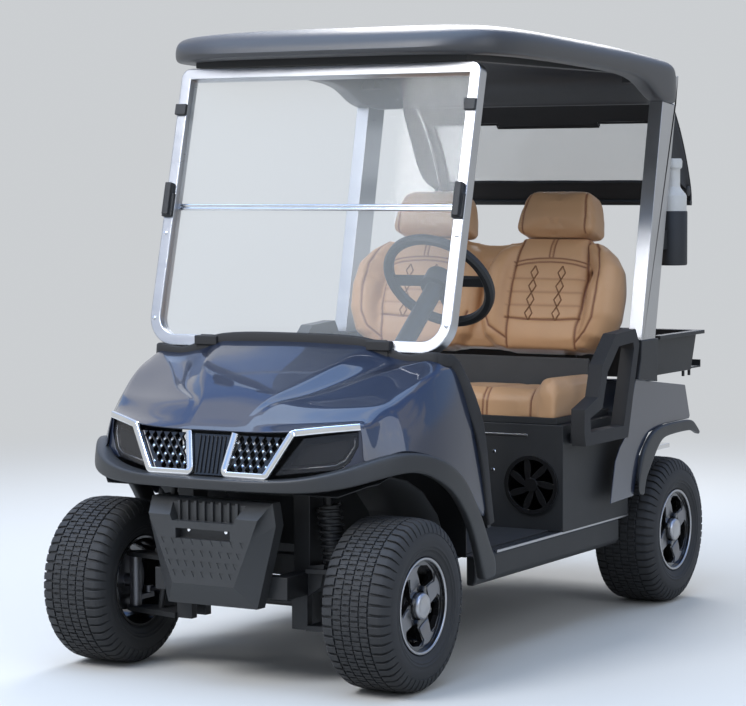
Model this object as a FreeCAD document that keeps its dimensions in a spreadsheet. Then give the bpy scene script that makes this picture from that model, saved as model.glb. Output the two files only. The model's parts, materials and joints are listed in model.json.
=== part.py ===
import FreeCAD, Part
import math
import os
import Sketcher

# Two-seat golf cart.
# The cart points along +X, its left side is +Y and +Z is up. The origin lies on the
# ground, under the middle of its length and width. All sizes are in millimetres.

SIZES = (
    # name, value, what it is
    ("wheelbase", 1662, "front axle to rear axle"),
    ("nose_overhang", 245, "front axle to the bumper's nose"),
    ("tail_overhang", 500, "rear axle to the end of the bag cradle"),
    ("track", 889.6, "between the middles of the two tyres of an axle"),
    ("tyre_radius", 229.5, "outer radius of a tyre"),
    ("tyre_width", 205, "across the sidewalls"),
    ("bead_radius", 127, "rim seat under the tyre's bead"),
    ("rim_wall", 8, "thickness of the rim's barrel"),
    ("rim_half_width", 90, "half of the rim's barrel"),
    ("spoke_face", 62, "tyre's middle to the inside of the spoke disc"),
    ("spoke_depth", 18, "thickness of the spoke disc"),
    ("cap_radius", 31, "wheel cap"),
    ("cap_reach", 93, "tyre's middle to the outside of the wheel cap"),
    ("kingpin_inset", 64.8, "tyre's middle in to the kingpin"),
    ("kingpin_length", 139.4, "upright between the two arms"),
    ("axle_gap", 0.3, "running gap between parts that turn on each other"),
    ("steering_arm", 62, "kingpin back to the tie rod's eye"),
    ("rail_spacing", 370, "between the middles of the chassis rails"),
    ("rail_width", 50, "across a chassis rail"),
    ("rail_height", 60, "depth of a chassis rail"),
    ("floor_height", 300, "underside of the floor plate"),
    ("floor_plate", 5, "thickness of the floor and toe board"),
    ("floor_half_width", 455, "middle to the floor's side edge"),
    ("mat_thickness", 4, "rubber mat on the floor"),
    ("toe_board_setback", 390, "front axle back to the toe board"),
    ("sill_outer", 485, "middle to the outside of a sill"),
    ("sill_depth", 83, "height of a sill"),
    ("body_wall", 4, "thickness of the moulded body panels"),
    ("flare_half_width", 550, "middle to the outside of the front flares"),
    ("flare_depth", 46, "width of a flare's lip"),
    ("dash_bottom", 690, "underside of the dashboard"),
    ("glass", 5, "thickness of the windshield panes"),
    ("windshield_half_width", 490, "middle to the outside of the windshield frame"),
    ("windshield_top", 1660, "top of the windshield frame"),
    ("windshield_foot", 868, "bottom of the windshield frame"),
    ("bar_height", 1264, "ground to the bar between the panes"),
    ("frame_corner", 90, "radius of the windshield frame's lower corners"),
    ("windshield_setback", 241, "front axle back to the foot of the windshield"),
    ("windshield_lean", 14, "degrees that the windshield leans back"),
    ("frame_face", 33, "face width of the windshield tube"),
    ("frame_deep", 40, "depth of the windshield tube"),
    ("roof_half_width", 560, "middle to the roof's side edge"),
    ("roof_front", 330, "front axle back to the roof's front edge"),
    ("roof_rear", 8, "rear axle back to the roof's rear edge"),
    ("roof_crown", 1785, "highest point of the roof"),
    ("roof_edge", 1680, "underside of the roof's front edge"),
    ("roof_skin", 30, "thickness of the roof inside its rolled edge"),
    ("roof_roll", 70, "width of the roof's rolled edge"),
    ("strut_outer", 546, "middle to the outside of the rear struts"),
    ("strut_width", 45, "across a rear strut"),
    ("strut_depth", 105, "fore and aft depth of a rear strut"),
    ("strut_lean", 12.1, "degrees that the rear struts lean back"),
    ("strut_base", 295, "rear axle forward to the front of a strut at the shoe's top"),
    ("shoe_top", 848, "top of the strut shoes"),
    ("deck_front", 730, "front end of the rear body's deck"),
    ("body_half_width", 530, "middle to the outside of the rear body"),
    ("pod_front", 725, "rear axle forward to the seat pod's front"),
    ("pod_rear", 262, "rear axle forward to the seat pod's rear"),
    ("pod_half_width", 488, "middle to the side of the seat pod"),
    ("pod_top", 620, "top of the seat pod"),
    ("vent_offset", 386, "middle to the centre of the round vent"),
    ("vent_height", 441, "ground to the centre of the round vent"),
    ("vent_radius", 87, "outer radius of the round vent"),
    ("cushion_half_width", 470, "middle to the side of the seat cushion"),
    ("cushion_rear", 340, "rear axle forward to the cushion's rear"),
    ("cushion_top", 715, "top of the cushion at its rear"),
    ("cushion_rise", 15, "how much higher the cushion's front is"),
    ("cushion_bolster", 28, "how far the cushion's raised sides stand up"),
    ("hinge_offset", 280, "middle to the middle of a cushion hinge"),
    ("hinge_inset", 10, "cushion's rear top edge to the hinge pin, both ways"),
    ("hinge_pin", 5, "radius of a cushion hinge's pin"),
    ("hinge_ear", 9, "radius of a cushion hinge's ear"),
    ("hinge_width", 20, "width of a cushion hinge's ear"),
    ("back_foot", 352, "rear axle forward to the foot of the seat back"),
    ("back_bottom", 803, "ground to the foot of the seat back"),
    ("back_lean", 17.7, "degrees that the seat back leans"),
    ("back_thickness", 110, "seat back without its bolsters"),
    ("bolster_rise", 52, "how far the seat back's bolsters stand out"),
    ("headrest_rise", 12, "how far the headrests stand out"),
    ("seat_pitch", 446, "between the middles of the two seats"),
    ("headrest_height", 525, "top of the headrests, along the seat back"),
    ("wheel_ring_radius", 170, "outer radius of the steering wheel"),
    ("wheel_rim_radius", 14, "radius of the steering wheel's rim"),
    ("wheel_setback", 660, "front axle back to the steering wheel's centre"),
    ("wheel_offset", 226, "middle to the steering wheel's centre"),
    ("wheel_height", 1050, "ground to the steering wheel's centre"),
    ("column_angle", 39, "degrees of the steering column above the level"),
    ("hoop_offset", 530, "middle to the middle of the armrest hoops"),
    ("hoop_width", 44, "across an armrest hoop"),
    ("basket_half_width", 470, "middle to the side of the basket"),
    ("basket_front", 22, "rear axle forward to the basket's front"),
    ("basket_rear", 323, "rear axle back to the basket's rear"),
    ("basket_floor", 715, "ground to the basket's underside"),
    ("basket_height", 130, "height of the basket"),
    ("basket_wall", 5, "thickness of the basket"),
    ("cradle_half_width", 410, "middle to the side of the bag cradle"),
    ("platform_height", 440, "ground to the underside of the bag platform"),
    ("platform_half_width", 325, "middle to the side of the bag platform"),
    ("hood_half_width", 460, "middle to the side of the bag hood"),
    ("bottle_radius", 47, "sand bottle"),
)


class Length:
    """A number that remembers the sheet formula it comes from."""

    def __init__(self, value, formula):
        self.value = value
        self.formula = formula

    def __float__(self):
        return float(self.value)

    def __neg__(self):
        return Length(-self.value, f"-({self.formula})")

    def __add__(self, other):
        return Length(self.value + float(other), f"({self.formula} + {formula(other)})")

    def __radd__(self, other):
        return Length(float(other) + self.value, f"({formula(other)} + {self.formula})")

    def __sub__(self, other):
        return Length(self.value - float(other), f"({self.formula} - {formula(other)})")

    def __rsub__(self, other):
        return Length(float(other) - self.value, f"({formula(other)} - {self.formula})")

    def __mul__(self, other):
        return Length(self.value * float(other), f"({self.formula} * {formula(other)})")

    __rmul__ = __mul__

    def __truediv__(self, other):
        return Length(self.value / float(other), f"({self.formula} / {formula(other)})")


def formula(length):
    """The text that a property or a constraint is bound to."""
    if isinstance(length, Length):
        return length.formula
    return f"({float(length)})"


class Sizes:
    """The driving sizes, read back from the sheet by name."""


doc = FreeCAD.newDocument("golf_cart")
sheet = doc.addObject("Spreadsheet::Sheet", "Sizes")
for row, (name, value, meaning) in enumerate(SIZES, start=1):
    sheet.set(f"A{row}", meaning)
    sheet.set(f"B{row}", str(value))
    sheet.setAlias(f"B{row}", name)
doc.recompute()

size = Sizes()
for name, value, meaning in SIZES:
    setattr(size, name, Length(float(getattr(sheet, name)), f"Sizes.{name}"))

# Places that many pieces share
front_axle = size.wheelbase / 2 + (size.tail_overhang - size.nose_overhang) / 2
rear_axle = front_axle - size.wheelbase
tyre_plane = size.track / 2
kingpin = tyre_plane - size.kingpin_inset
floor_top = size.floor_height + size.floor_plate
sub_parts = []


def place(x, y, z):
    return FreeCAD.Vector(float(x), float(y), float(z))


def keep(thing, label):
    """Name a finished sub-part, so that it is checked and written at the end."""
    thing.Label = label
    sub_parts.append(thing)
    return thing


def seat_at(thing, x, y, z, turn=None):
    """Bind an object's place to the sheet."""
    thing.Placement = FreeCAD.Placement(place(x, y, z), turn or FreeCAD.Rotation())
    for axis, length in zip("xyz", (x, y, z)):
        thing.setExpression(f"Placement.Base.{axis}", formula(length))
    return thing


# Primitives and booleans

def box(name, low, high):
    """A box between two corners."""
    made = doc.addObject("Part::Box", name)
    for side, start, end in zip(("Length", "Width", "Height"), low, high):
        made.setExpression(side, f"{formula(end)} - {formula(start)}")
    return seat_at(made, *low)


AXES = {
    "X": FreeCAD.Rotation(FreeCAD.Vector(0, 1, 0), 90),
    "Y": FreeCAD.Rotation(FreeCAD.Vector(1, 0, 0), -90),
    "Z": FreeCAD.Rotation(),
}


def rod(name, start, length, radius, axis):
    """A cylinder from its start along one axis."""
    made = doc.addObject("Part::Cylinder", name)
    made.setExpression("Radius", formula(radius))
    made.setExpression("Height", formula(length))
    return seat_at(made, *start, AXES[axis])


def fuse(name, pieces):
    made = doc.addObject("Part::MultiFuse", name)
    made.Shapes = pieces
    return made


def cut(name, base, tool):
    made = doc.addObject("Part::Cut", name)
    made.Base = base
    made.Tool = tool
    return made


def mirrored(name, source):
    """The same piece on the cart's other side."""
    made = doc.addObject("Part::Mirroring", name)
    made.Source = source
    made.Normal = (0, 1, 0)
    return made


def both_sides(name, source):
    """One node that holds a piece and its mirror image."""
    made = doc.addObject("Part::Compound", name)
    made.Links = [source, mirrored(name + "_right", source)]
    return made


# Bodies with sketches

def new_body(name):
    return doc.addObject("PartDesign::Body", name)


def outline(body, plane, corners, offset=0):
    """A closed sketch whose corners are bound to the sheet."""
    planes = {feature.Role: feature for feature in body.Origin.OriginFeatures}
    sketch = body.newObject("Sketcher::SketchObject", body.Name + "_outline")
    sketch.AttachmentSupport = [(planes[plane], "")]
    sketch.MapMode = "FlatFace"
    sketch.setExpression("AttachmentOffset.Base.z", formula(offset))
    spots = [place(across, up, 0) for across, up in corners]
    count = len(spots)
    for index, spot in enumerate(spots):
        sketch.addGeometry(Part.LineSegment(spot, spots[(index + 1) % count]))
    for index in range(count):
        sketch.addConstraint(Sketcher.Constraint("Coincident", index, 2, (index + 1) % count, 1))
    for index, corner in enumerate(corners):
        for kind, length in zip(("DistanceX", "DistanceY"), corner):
            rule = Sketcher.Constraint(kind, -1, 1, index, 1, float(length))
            number = sketch.addConstraint(rule)
            sketch.setExpression(f"Constraints[{number}]", formula(length))
    return sketch


def ring(body, plane, radius, offset=0, centre=(0, 0)):
    """A sketched circle on one of the body's own planes."""
    planes = {feature.Role: feature for feature in body.Origin.OriginFeatures}
    sketch = body.newObject("Sketcher::SketchObject", body.Name + "_ring")
    sketch.AttachmentSupport = [(planes[plane], "")]
    sketch.MapMode = "FlatFace"
    sketch.setExpression("AttachmentOffset.Base.z", formula(offset))
    spot = place(centre[0], centre[1], 0)
    sketch.addGeometry(Part.Circle(spot, FreeCAD.Vector(0, 0, 1), float(radius)))
    for kind, length in zip(("DistanceX", "DistanceY"), centre):
        number = sketch.addConstraint(Sketcher.Constraint(kind, -1, 1, 0, 3, float(length)))
        sketch.setExpression(f"Constraints[{number}]", formula(length))
    number = sketch.addConstraint(Sketcher.Constraint("Radius", 0, float(radius)))
    sketch.setExpression(f"Constraints[{number}]", formula(radius))
    return sketch


def pad(body, sketch, length, symmetric=False):
    made = body.newObject("PartDesign::Pad", body.Name + "_pad")
    made.Profile = sketch
    made.setExpression("Length", formula(length))
    if symmetric:
        made.SideType = "Symmetric"
    return made


def pocket(body, sketch, length, symmetric=False):
    made = body.newObject("PartDesign::Pocket", body.Name + "_pocket")
    made.Profile = sketch
    made.setExpression("Length", formula(length))
    if symmetric:
        made.SideType = "Symmetric"
    return made


def revolve(body, sketch, axis):
    made = body.newObject("PartDesign::Revolution", body.Name + "_turned")
    made.Profile = sketch
    made.ReferenceAxis = (sketch, [axis])
    made.Angle = 360
    return made


def repeat_round(body, feature, axis, count):
    """Repeat a feature in a full circle round one of the body's own axes."""
    lines = {item.Role: item for item in body.Origin.OriginFeatures}
    made = body.newObject("PartDesign::PolarPattern", body.Name + "_pattern")
    made.Originals = [feature]
    made.Axis = (lines[axis], [""])
    made.Angle = 360
    made.Occurrences = count
    body.Tip = made
    return made


# Shapes from sections

def polygon(points):
    return Part.makePolygon(points + points[:1])


def loft(sections):
    """A ruled solid through closed sections that have equal corner counts."""
    return Part.makeLoft([polygon(points) for points in sections], True, True)


def arch(x, half_points, foot):
    """A closed section across the cart: a half outline, mirrored, down to its foot."""
    left = [place(x, across, up) for across, up in half_points]
    last = float(half_points[-1][0])
    right = [place(x, -float(across), up) for across, up in reversed(half_points) if float(across)]
    return left + [place(x, last, foot), place(x, -last, foot)] + right


def profile_prism(points, y_low, y_high):
    """A side outline in X and Z, made as wide as from one Y to another."""
    face = Part.Face(polygon([place(x, y_low, z) for x, z in points]))
    return face.extrude(place(0, float(y_high) - float(y_low), 0))


def plan_prism(points, z_low, z_high):
    """A plan outline in X and Y, made as high as from one Z to another."""
    face = Part.Face(polygon([place(x, y, z_low) for x, y in points]))
    return face.extrude(place(0, 0, float(z_high) - float(z_low)))


def symmetric_plan(half_points):
    """A half plan outline, from the middle to the left side and back to the middle."""
    other = [(x, -float(y)) for x, y in reversed(half_points) if float(y)]
    return list(half_points) + other


def shaped(label, shape):
    """A sub-part whose form comes from Part's own functions."""
    made = doc.addObject("Part::Feature", label)
    made.Shape = shape
    return keep(made, label)


def mirror_shape(shape):
    return shape.mirror(FreeCAD.Vector(), FreeCAD.Vector(0, 1, 0))


# Wheels

def wheel_places():
    """Name, axle and side of the four wheels."""
    return (
        ("front_left", front_axle, 1),
        ("front_right", front_axle, -1),
        ("rear_left", rear_axle, 1),
        ("rear_right", rear_axle, -1),
    )


def make_tyre(name, axle, side):
    half = size.tyre_width / 2
    outer = size.tyre_radius
    bead = size.bead_radius + size.axle_gap
    profile = (
        # across from the tyre's middle, radius
        (-0.55 * half, outer),
        (0.55 * half, outer),
        (0.86 * half, outer - 9),
        (half, outer - 42),
        (half - 1, outer - 62),
        (half - 16, bead),
        (half - 28, bead),
        (half - 20, outer - 60),
        (0.7 * half, outer - 22),
        (-0.7 * half, outer - 22),
        (20 - half, outer - 60),
        (28 - half, bead),
        (16 - half, bead),
        (1 - half, outer - 62),
        (-half, outer - 42),
        (-0.86 * half, outer - 9),
    )
    body = new_body("tyre_" + name)
    revolve(body, outline(body, "YZ_Plane", profile), "H_Axis")
    seat_at(body, axle, tyre_plane * side, outer)
    return keep(body, "tyre_" + name)


WINDOW = (
    # degrees from the window's middle, radius
    (-30, 98),
    (-18, 106),
    (0, 109),
    (18, 106),
    (30, 98),
    (24, 74),
    (0, 46),
    (-24, 74),
)


WINDOW_TURN = 111


def make_rim(name, axle, side):
    """Deep-dished rim with four flared spokes between rounded windows."""
    inner = size.bead_radius - size.rim_wall
    disc_in = size.spoke_face * side
    disc_out = (size.spoke_face + size.spoke_depth) * side
    edge = size.rim_half_width * side
    profile = (
        # across from the tyre's middle, radius
        (-edge, size.bead_radius),
        (-edge, inner),
        (disc_in, inner),
        (disc_in, 0),
        (size.cap_reach * side, 0),
        (size.cap_reach * side, size.cap_radius),
        (disc_out - 4 * side, size.cap_radius + 4),
        (disc_out - 4 * side, size.cap_radius + 12),
        (disc_out, inner - 8),
        (disc_out, inner),
        (edge, inner),
        (edge, size.bead_radius),
    )
    body = new_body("rim_" + name)
    revolve(body, outline(body, "YZ_Plane", profile), "H_Axis")
    window = []
    for degrees, radius in WINDOW:
        turn = math.radians(WINDOW_TURN + degrees)
        window.append((radius * math.cos(turn), radius * math.sin(turn)))
    hole = pocket(body, outline(body, "XZ_Plane", window), size.tyre_width * 2, symmetric=True)
    repeat_round(body, hole, "Y_Axis", 4)
    seat_at(body, axle, tyre_plane * side, size.tyre_radius)
    return keep(body, "rim_" + name)


# Steering knuckles, suspension and axles

def make_knuckle(name, side):
    axle_height = size.tyre_radius
    gap = size.axle_gap
    pin_low = axle_height - size.kingpin_length / 2
    hub_end = tyre_plane + size.spoke_face - gap

    def along(label, start, end, radius):
        low = start if side > 0 else -end
        return rod(name + label, (front_axle, low, axle_height), end - start, radius, "Y")

    pin_foot = (front_axle, kingpin * side, pin_low)
    upright = rod(name + "_upright", pin_foot, size.kingpin_length, 17, "Z")
    stub = along("_stub", kingpin, hub_end, 18)
    drum = along("_drum", kingpin + 30, kingpin + 68, 84)
    flange = along("_flange", hub_end - 11, hub_end, 54)
    arm_low = axle_height - 55
    across = kingpin * side
    arm = box(
        name + "_arm",
        (front_axle - size.steering_arm - 12, across - 11, arm_low),
        (front_axle, across + 11, arm_low + 13),
    )
    return keep(fuse(name, [upright, stub, drum, flange, arm]), name)


def tie_rod_height():
    """Middle of the tie rod, just above the steering arms."""
    return size.tyre_radius - 55 + 13 + 3 + 8


def make_tie_rod():
    """The rod that slides in the rack and turns both knuckles."""
    x = front_axle - size.steering_arm
    z = tie_rod_height()
    bar = rod("tie_rod_bar", (x, -kingpin, z), kingpin * 2, 8, "Y")
    eyes = [rod("tie_rod_eye", (x, kingpin * side, z - 10), 20, 13, "Z") for side in (1, -1)]
    return keep(fuse("tie_rod", [bar] + eyes), "tie_rod")


def make_front_suspension():
    """Two arms a side with a coil-over between the lower arm and the tower."""
    low = size.tyre_radius - size.kingpin_length / 2 - size.axle_gap
    high = size.tyre_radius + size.kingpin_length / 2 + size.axle_gap
    rail_outer = (size.rail_spacing + size.rail_width) / 2
    arm_plan = (
        # forward of the axle, across
        (-58, rail_outer),
        (58, rail_outer),
        (24, kingpin),
        (10, kingpin + 22),
        (-10, kingpin + 22),
        (-24, kingpin),
    )
    pieces = []
    for side in (1, -1):
        plan = [(front_axle + x, y * side) for x, y in arm_plan]
        pieces.append(plan_prism(plan, low - 14, low))
        pieces.append(plan_prism(plan, high, high + 12))
        foot = place(front_axle, (rail_outer + 85) * side, low - 6)
        head = place(front_axle, (rail_outer + 34) * side, size.floor_height + 212)
        slope = head - foot
        post = place(front_axle, rail_outer * side, size.floor_height + 212)
        pieces.append(Part.makeCylinder(12, 46, post, place(0, side, 0)))
        pieces.append(Part.makeCylinder(9, slope.Length, foot, slope))
        coil = foot + slope * 0.46
        pieces.append(Part.makeCylinder(27, slope.Length * 0.44, coil, slope))
    # guards ahead of the arms, outside the rails
    for side in (1, -1):
        corners = ((rail_outer, 238), (251, 266), (261, 326), (rail_outer, 318))
        spots = [place(front_axle + 40, y * side, z) for y, z in corners]
        pieces.append(Part.Face(polygon(spots)).extrude(place(6, 0, 0)))
    # rack housing round the sliding tie rod, hung from the rails
    rod_height = tie_rod_height()
    rack_x = front_axle - size.steering_arm
    half = float(size.rail_spacing) / 2 + 20
    across = FreeCAD.Vector(0, 1, 0)
    pieces.append(Part.makeCylinder(13, 2 * half, place(rack_x, -half, rod_height), across))
    hanger = Part.makeBox(20, 40, float(size.floor_height - size.rail_height - rod_height))
    for side in (1, -1):
        block = hanger.copy()
        block.translate(place(rack_x - 10, side * float(size.rail_spacing) / 2 - 20, rod_height))
        pieces.append(block)
    bore_start = place(rack_x, -2 * half, rod_height)
    bore = Part.makeCylinder(8 + float(size.axle_gap), 4 * half, bore_start, across)
    shape = pieces[0].multiFuse(pieces[1:]).cut(bore)
    shaped("front_suspension", shape)


def make_chassis():
    """Ladder frame with cross members, front tower and seat posts."""
    half = size.rail_spacing / 2
    low = size.floor_height - size.rail_height
    high = size.floor_height
    wide = size.rail_width / 2
    inner = half - wide
    nose = front_axle + 150
    tail = rear_axle - 380
    kick = rear_axle + size.pod_rear - size.axle_gap
    top = high + size.rail_height
    pieces = [
        box("rail_left", (kick - 50, half - wide, low), (nose, half + wide, high)),
        box("rail_right", (kick - 50, -half - wide, low), (nose, -half + wide, high)),
        box("rear_rail_left", (tail, half - wide, high), (kick, half + wide, top)),
        box("rear_rail_right", (tail, -half - wide, high), (kick, -half + wide, top)),
        box("rear_cross", (tail, -inner, high), (tail + 40, inner, top)),
    ]
    for index, x in enumerate((nose - 40, front_axle - 260, rear_axle + 560)):
        pieces.append(box(f"cross_{index}", (x, -inner, low), (x + 40, inner, high)))
    # lower side runs of the frame, down to the arms and the rack
    arm_low = size.tyre_radius - size.kingpin_length / 2 - size.axle_gap - 14
    for side in (1, -1):
        edges = sorted((side * (half + wide), side * (half - wide)), key=float)
        for name, start, end, foot, top_edge in (
            ("arm_bracket", -48, -22, arm_low, low),
            ("arm_bracket", 22, 48, arm_low, low),
            ("tower", -35, 35, high, high + 240),
        ):
            corner = (front_axle + start, edges[0], foot)
            pieces.append(box(name, corner, (front_axle + end, edges[1], top_edge)))
    bar_low = (front_axle - 35, -inner, high + 200)
    pieces.append(box("tower_bar", bar_low, (front_axle + 35, inner, high + 240)))
    return keep(fuse("chassis_frame", pieces), "chassis_frame")


def make_rear_axle():
    """Live axle with its motor, springs and the hub flanges."""
    height = size.tyre_radius
    gap = size.axle_gap
    hub_end = tyre_plane + size.spoke_face - gap
    pieces = [
        rod("axle_tube", (rear_axle, -(tyre_plane - 70), height), (tyre_plane - 70) * 2, 32, "Y"),
        rod("axle_shaft", (rear_axle, -hub_end, height), hub_end * 2, 17, "Y"),
        rod("drum_left", (rear_axle, tyre_plane - 44, height), 48, 84, "Y"),
        rod("drum_right", (rear_axle, -(tyre_plane - 44) - 48, height), 48, 84, "Y"),
        rod("flange_left", (rear_axle, hub_end - 11, height), 11, 54, "Y"),
        rod("flange_right", (rear_axle, -hub_end, height), 11, 54, "Y"),
        rod("gear_case", (rear_axle, -70, height), 130, 62, "Y"),
        rod("motor", (rear_axle + 50, 0, height), 230, 55, "X"),
    ]
    for side in (1, -1):
        low, high = sorted((side * 235, side * 290))
        corner = (rear_axle - 255, low, height + 28)
        pieces.append(box("spring", corner, (rear_axle + 255, high, height + 42)))
    for side in (1, -1):
        low, high = sorted((side * 210, side * 290))
        for end in (-255, 215):
            corner = (rear_axle + end, low, height + 28)
            pieces.append(box("spring_hanger", corner, (rear_axle + end + 40, high, height + 90)))
    return keep(fuse("rear_axle", pieces), "rear_axle")


def make_battery():
    """Battery pack, one block inside the seat pod."""
    low = (rear_axle + size.pod_rear + 40, -270, size.floor_height + size.floor_plate)
    high = (rear_axle + size.pod_front - 60, 270, size.floor_height + size.floor_plate + 230)
    return keep(box("battery_pack", low, high), "battery_pack")


# Floor, sills and seat pod

def make_floor():
    """Floor plate with the toe board that closes the cabin's front."""
    half = size.floor_half_width
    toe = front_axle - size.toe_board_setback
    plate = box(
        "floor_plate",
        (rear_axle + size.pod_rear, -half, size.floor_height),
        (toe, half, floor_top),
    )
    board = box("toe_board", (toe - size.floor_plate, -half, floor_top), (toe, half, size.dash_bottom))
    return keep(fuse("floor", [plate, board]), "floor")


def make_floor_mat():
    """Rubber mat on the floor between the toe board and the seat pod."""
    half = size.floor_half_width - 15
    front = front_axle - size.toe_board_setback - size.floor_plate - size.axle_gap
    rear = rear_axle + size.pod_front + size.axle_gap
    top = floor_top + size.mat_thickness
    return keep(box("floor_mat", (rear, -half, floor_top), (front, half, top)), "floor_mat")


def make_sills():
    front = front_axle - size.toe_board_setback
    rear = rear_axle + size.pod_rear + 60
    low = floor_top - size.sill_depth
    profile = (
        # across, up
        (size.floor_half_width, low),
        (size.sill_outer - 10, low),
        (size.sill_outer, low + 14),
        (size.sill_outer, floor_top - 8),
        (size.sill_outer - 8, floor_top),
        (size.floor_half_width, floor_top),
    )
    body = new_body("sill_left")
    pad(body, outline(body, "YZ_Plane", profile, rear), front - rear)
    return keep(both_sides("side_sills", body), "side_sills")


def make_seat_pod():
    wall = size.body_wall
    half = size.pod_half_width
    front = rear_axle + size.pod_front
    rear = rear_axle + size.pod_rear
    outer = box("pod_outer", (rear, -half, floor_top), (front, half, size.pod_top))
    inner = box(
        "pod_inner",
        (rear + wall, -half + wall, floor_top - 50),
        (front - wall, half - wall, size.pod_top - wall),
    )
    mouth = box(
        "pod_mouth",
        (rear + 84, -half + 50, size.pod_top - 50),
        (front - 40, half - 50, size.pod_top + 50),
    )
    shell = cut("pod_shell", outer, fuse("pod_space", [inner, mouth]))
    holes = []
    for side in (1, -1):
        start = (front - 60, size.vent_offset * side, size.vent_height)
        holes.append(rod("vent_hole", start, 120, size.vent_radius - 8, "X"))
    return keep(cut("seat_pod", shell, fuse("vent_holes", holes)), "seat_pod")


def make_vent():
    """Round vent with seven swept blades, on each side of the pod's front."""
    body = new_body("vent_left")
    outer = size.vent_radius
    pad(body, ring(body, "YZ_Plane", outer), 9)
    pocket(body, ring(body, "YZ_Plane", outer - 12), 60, symmetric=True)
    pad(body, ring(body, "YZ_Plane", outer * 0.24), 9)
    blade = (
        # across and up, curving from the hub to the ring
        (-6, outer * 0.16),
        (10, outer * 0.16),
        (30, 26),
        (46, 40),
        (56, 58),
        (48, 64),
        (34, 56),
        (14, 38),
    )
    vane = pad(body, outline(body, "YZ_Plane", blade), 6)
    repeat_round(body, vane, "X_Axis", 7)
    seat_at(body, rear_axle + size.pod_front, size.vent_offset, size.vent_height)
    return keep(both_sides("pod_vents", body), "pod_vents")


# Front body

def front_outline(depth):
    """Plan of the bumper and flares, from the nose to the cabin, moved in by a depth."""
    table = (
        # forward of the axle, across
        (245, 0),
        (238, 150),
        (215, 270),
        (170, 370),
        (100, 435),
        (20, 490),
        (-60, 525),
        (-150, 545),
        (-395, 550),
    )
    widen = float(size.flare_half_width) / 550
    nose = float(size.nose_overhang) / 245
    points = []
    for x, y in table:
        ahead = x * nose - depth if x > 0 else x
        points.append((front_axle + ahead, widen * y * (1 - depth / 550)))
    return points


WAIST = (
    # forward of the axle, up: top edge of the bumper and the flares, front to rear
    (260, 562),
    (205, 562),
    (190, 588),
    (130, 607),
    (50, 631),
    (-125, 600),
    (-228, 534),
    (-304, 441),
    (-340, 387),
)
ARCH = (
    # forward of the axle, up: lower edge, rear to front
    (-300, 330),
    (-273, 402),
    (-183, 497),
    (-80, 550),
    (20, 581),
    (100, 563),
    (170, 545),
    (215, 531),
    (260, 531),
)


def at_front(points):
    return [(front_axle + x, z) for x, z in points]


def grille_face(y, z):
    """Where the grille's plane is ahead of the front axle."""
    return 212 - 0.27 * (z - 567)


def lamp_face(y, z):
    """Where a headlamp's plane is ahead of the front axle."""
    return 196 - 0.48 * (y - 190) - 0.2 * (z - 572)


GRILLE = ((0, 566), (182, 566), (238, 672), (0, 672))
HEADLAMP = ((196, 572), (258, 671), (388, 687), (398, 612))
TRIM = ((72, 672), (50, 573), (180, 573), (244, 682))
BROW = ((244, 682), (392, 698))
TRIM_WIDTH = 14


def ribbon(path, width):
    """A mitred band of one width along a path in the nose's Y and Z."""
    sides = ([], [])
    last = len(path) - 1
    for index, (y, z) in enumerate(path):
        before = path[max(index - 1, 0)]
        after = path[min(index + 1, last)]
        turns = []
        for start, end in ((before, (y, z)), ((y, z), after)):
            run = FreeCAD.Vector(end[0] - start[0], end[1] - start[1], 0)
            if run.Length:
                turns.append(run.normalize())
        normals = [FreeCAD.Vector(-turn.y, turn.x, 0) for turn in turns]
        middle = sum(normals[1:], normals[0]).normalize()
        reach = width / 2 / middle.dot(normals[0])
        for side, sign in zip(sides, (1, -1)):
            side.append((y + sign * middle.x * reach, z + sign * middle.y * reach))
    return sides[0] + sides[1][::-1]


def nose_piece(corners, face, back, front):
    """A piece whose front follows a plane of the nose, from one depth to another."""
    spots = [place(front_axle + face(y, z) + back, y, z) for y, z in corners]
    return Part.Face(polygon(spots)).extrude(place(front - back, 0, 0))


def nose_openings():
    """Everything that the cowl and the bumper leave open for grille, lamps and trim."""
    gap = float(size.axle_gap)
    half = (GRILLE, HEADLAMP, ribbon(TRIM, TRIM_WIDTH), ribbon(BROW, TRIM_WIDTH))
    blocks = []
    for corners in half:
        spots = [place(front_axle, y, z) for y, z in corners]
        face = polygon(spots).makeOffset2D(gap, join=2)
        block = Part.Face(face).extrude(place(400, 0, 0))
        blocks.append(block)
        blocks.append(mirror_shape(block))
    return blocks[0].multiFuse(blocks[1:])


def make_bumper():
    """Bumper band that runs on into the wheel flares."""
    outer = plan_prism(symmetric_plan(front_outline(0)), 280, 700)
    inner = plan_prism(symmetric_plan(front_outline(float(size.flare_depth))), 270, 710)
    band = at_front(WAIST) + [(front_axle - 394, 305), (front_axle - 394, 250), (front_axle - 320, 250)]
    band += at_front(ARCH)
    side = profile_prism(band, -700, 700)
    tail = Part.makeBox(200, 2000, 1000, place(front_axle - 594, -1000, 0))
    shaped("front_bumper", outer.cut(inner).common(side).cut(tail).cut(nose_openings()))


COWL_ROWS = (
    # forward of the axle; across and up of middle, ridge, valley, crest and shoulder; waist across
    (-400, ((0, 25), (225, 16), (330, -15), (425, -10), (462, -18)), 532),
    (-230, ((0, 25), (225, 16), (330, -15), (425, -10), (462, -18)), 536),
    (-104, ((0, -26), (205, -30), (275, -62), (338, -52), (460, -73)), 532),
    (9, ((0, -78), (160, -80), (205, -100), (255, -97), (420, -140)), 490),
    (62, ((0, -111), (120, -111), (150, -123), (195, -120), (395, -172)), 452),
    (150, ((0, -165), (90, -164), (120, -166), (160, -170), (262, -188)), 372),
    (188, ((0, -191), (50, -190), (70, -191), (85, -193), (100, -196)), 300),
)


COWL_REAR = ((-221, 853), (-283, 822), (-309, 722), (-312, 616), (-370, 389))


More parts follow.
